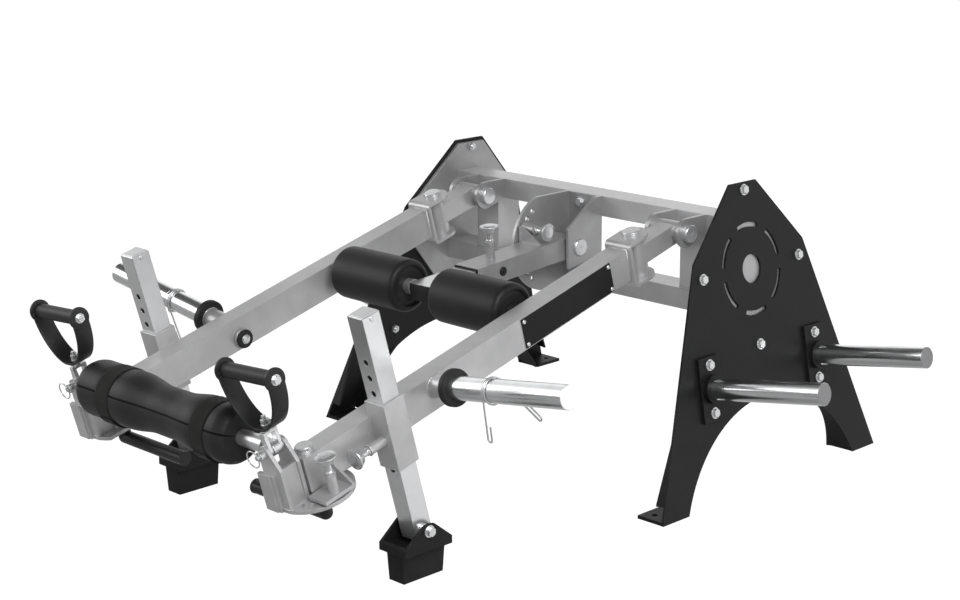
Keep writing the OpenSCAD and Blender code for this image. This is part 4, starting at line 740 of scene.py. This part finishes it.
scene.collection.objects.link(floor_object)
floor_object.visible_glossy = False

world = bpy.data.worlds.new("studio")
scene.world = world
world.use_nodes = True
tree = world.node_tree
tree.nodes.clear()


def sky_node(kind, **values):
    """A node of the world, with its inputs set or linked."""
    made = tree.nodes.new(kind)
    for key, value in values.items():
        target = made.inputs[key.replace("_", " ")]
        if isinstance(value, bpy.types.NodeSocket):
            tree.links.new(value, target)
        else:
            target.default_value = value
    return made


def sky_ramp(factor, *stops):
    """Greys by (place, shade) stops."""
    made = sky_node("ShaderNodeValToRGB", Fac=factor)
    while len(made.color_ramp.elements) < len(stops):
        made.color_ramp.elements.new(1.0)
    for stop, (at, shade) in zip(made.color_ramp.elements, stops):
        stop.position, stop.color = at, (shade, shade, shade * 1.005, 1)
    return made.outputs["Color"]


def sky_span(value, low, high):
    """0 below low, 1 above high and even in between."""
    made = tree.nodes.new("ShaderNodeMapRange")
    tree.links.new(value, made.inputs["Value"])
    for name, number in (("From Min", low), ("From Max", high), ("To Min", 0.0), ("To Max", 1.0)):
        made.inputs[name].default_value = number
    return made.outputs["Result"]


def sky_choice(factor, first, second):
    """The first where factor is 0, the second where it is 1."""
    made = tree.nodes.new("ShaderNodeMixShader")
    for socket, value in zip(made.inputs, (factor, first.outputs[0], second.outputs[0])):
        tree.links.new(value, socket)
    return made


rays = sky_node("ShaderNodeLightPath")
heading = sky_node("ShaderNodeTexCoord")
toward = sky_node("ShaderNodeSeparateXYZ", Vector=heading.outputs["Generated"])
# What lights every piece, from the horizon at 0 to straight up at 1
soft_box = sky_node("ShaderNodeBackground", Strength=0.62, Color=sky_ramp(
    toward.outputs["Z"], (0.0, 0.78), (0.10, 1.0), (0.34, 0.94), (0.62, 0.46), (1.0, 0.52)))
# What polished pieces mirror, from straight down at 0 over the horizon at 0.5 to straight up at 1:
# toward the camera's side a grey floor and a bright wall, away from it a white backdrop
height = sky_span(toward.outputs["Z"], -1.0, 1.0)
front_wall = sky_node("ShaderNodeBackground", Strength=1.0, Color=sky_ramp(
    height, (0.0, 0.25), (0.17, 0.27), (0.25, 0.38), (0.37, 0.33), (0.47, 0.39), (0.515, 0.5), (0.56, 0.82),
    (0.64, 1.0), (0.78, 0.95), (0.81, 0.7), (0.845, 0.09), (1.0, 0.07)))
backdrop = sky_node("ShaderNodeBackground", Strength=1.0, Color=sky_ramp(
    height, (0.0, 0.3), (0.2, 0.5), (0.36, 0.95), (0.5, 1.05), (0.76, 1.0), (0.80, 0.6), (0.845, 0.09),
    (1.0, 0.07)))
white = sky_node("ShaderNodeBackground", Color=(1, 1, 1, 1), Strength=1.0)
reflected = sky_choice(sky_span(toward.outputs["Y"], -0.10, 0.30), front_wall, backdrop)
sky = sky_choice(rays.outputs["Is Camera Ray"],
                 sky_choice(rays.outputs["Is Glossy Ray"], soft_box, reflected), white)
out = tree.nodes.new("ShaderNodeOutputWorld")
tree.links.new(sky.outputs[0], out.inputs["Surface"])


def lamp(name, at, aim, width, height_m, power, mirrored=True):
    """Flat light that faces aim; mirrored says if polished pieces show it."""
    light = bpy.data.lights.new(name, "AREA")
    light.shape = "RECTANGLE"
    light.size, light.size_y, light.energy = width, height_m, power
    made = bpy.data.objects.new(name, light)
    made.location = at
    made.rotation_euler = (Vector(aim) - Vector(at)).to_track_quat("-Z", "Y").to_euler()
    made.visible_glossy = mirrored
    scene.collection.objects.link(made)


lamp("key", (3.4, -1.6, 3.2), (0, 0, 0.35), 2.4, 2.4, 150)
lamp("fill", (-3.6, -2.6, 2.0), (0, 0, 0.3), 3.0, 2.0, 50)
lamp("back", (-1.2, 3.8, 2.8), (0, 0, 0.4), 3.6, 1.6, 80, False)

# The photograph's view: its angles, and its focal length in pixels of its own width
AZIMUTH, PITCH, ROLL = math.radians(45.15), math.radians(14.19), math.radians(-0.26)
FOCAL_PX, WIDTH_PX, SENSOR = 1919.8, 960, 36.0
lens = bpy.data.cameras.new("camera")
lens.sensor_width = SENSOR
lens.lens = FOCAL_PX / WIDTH_PX * SENSOR
lens.clip_end = 100
camera = bpy.data.objects.new("camera", lens)
camera.location = (3.0917, SHIFT_Y - 3.4800, 1.5160)
forward = Vector((-math.sin(AZIMUTH) * math.cos(PITCH), math.cos(AZIMUTH) * math.cos(PITCH),
                  -math.sin(PITCH)))
turned = forward.to_track_quat("-Z", "Y").to_matrix().to_4x4() @ Matrix.Rotation(ROLL, 4, "Z")
camera.rotation_euler = turned.to_euler()
scene.collection.objects.link(camera)
scene.camera = camera
scene.view_settings.view_transform = "Standard"
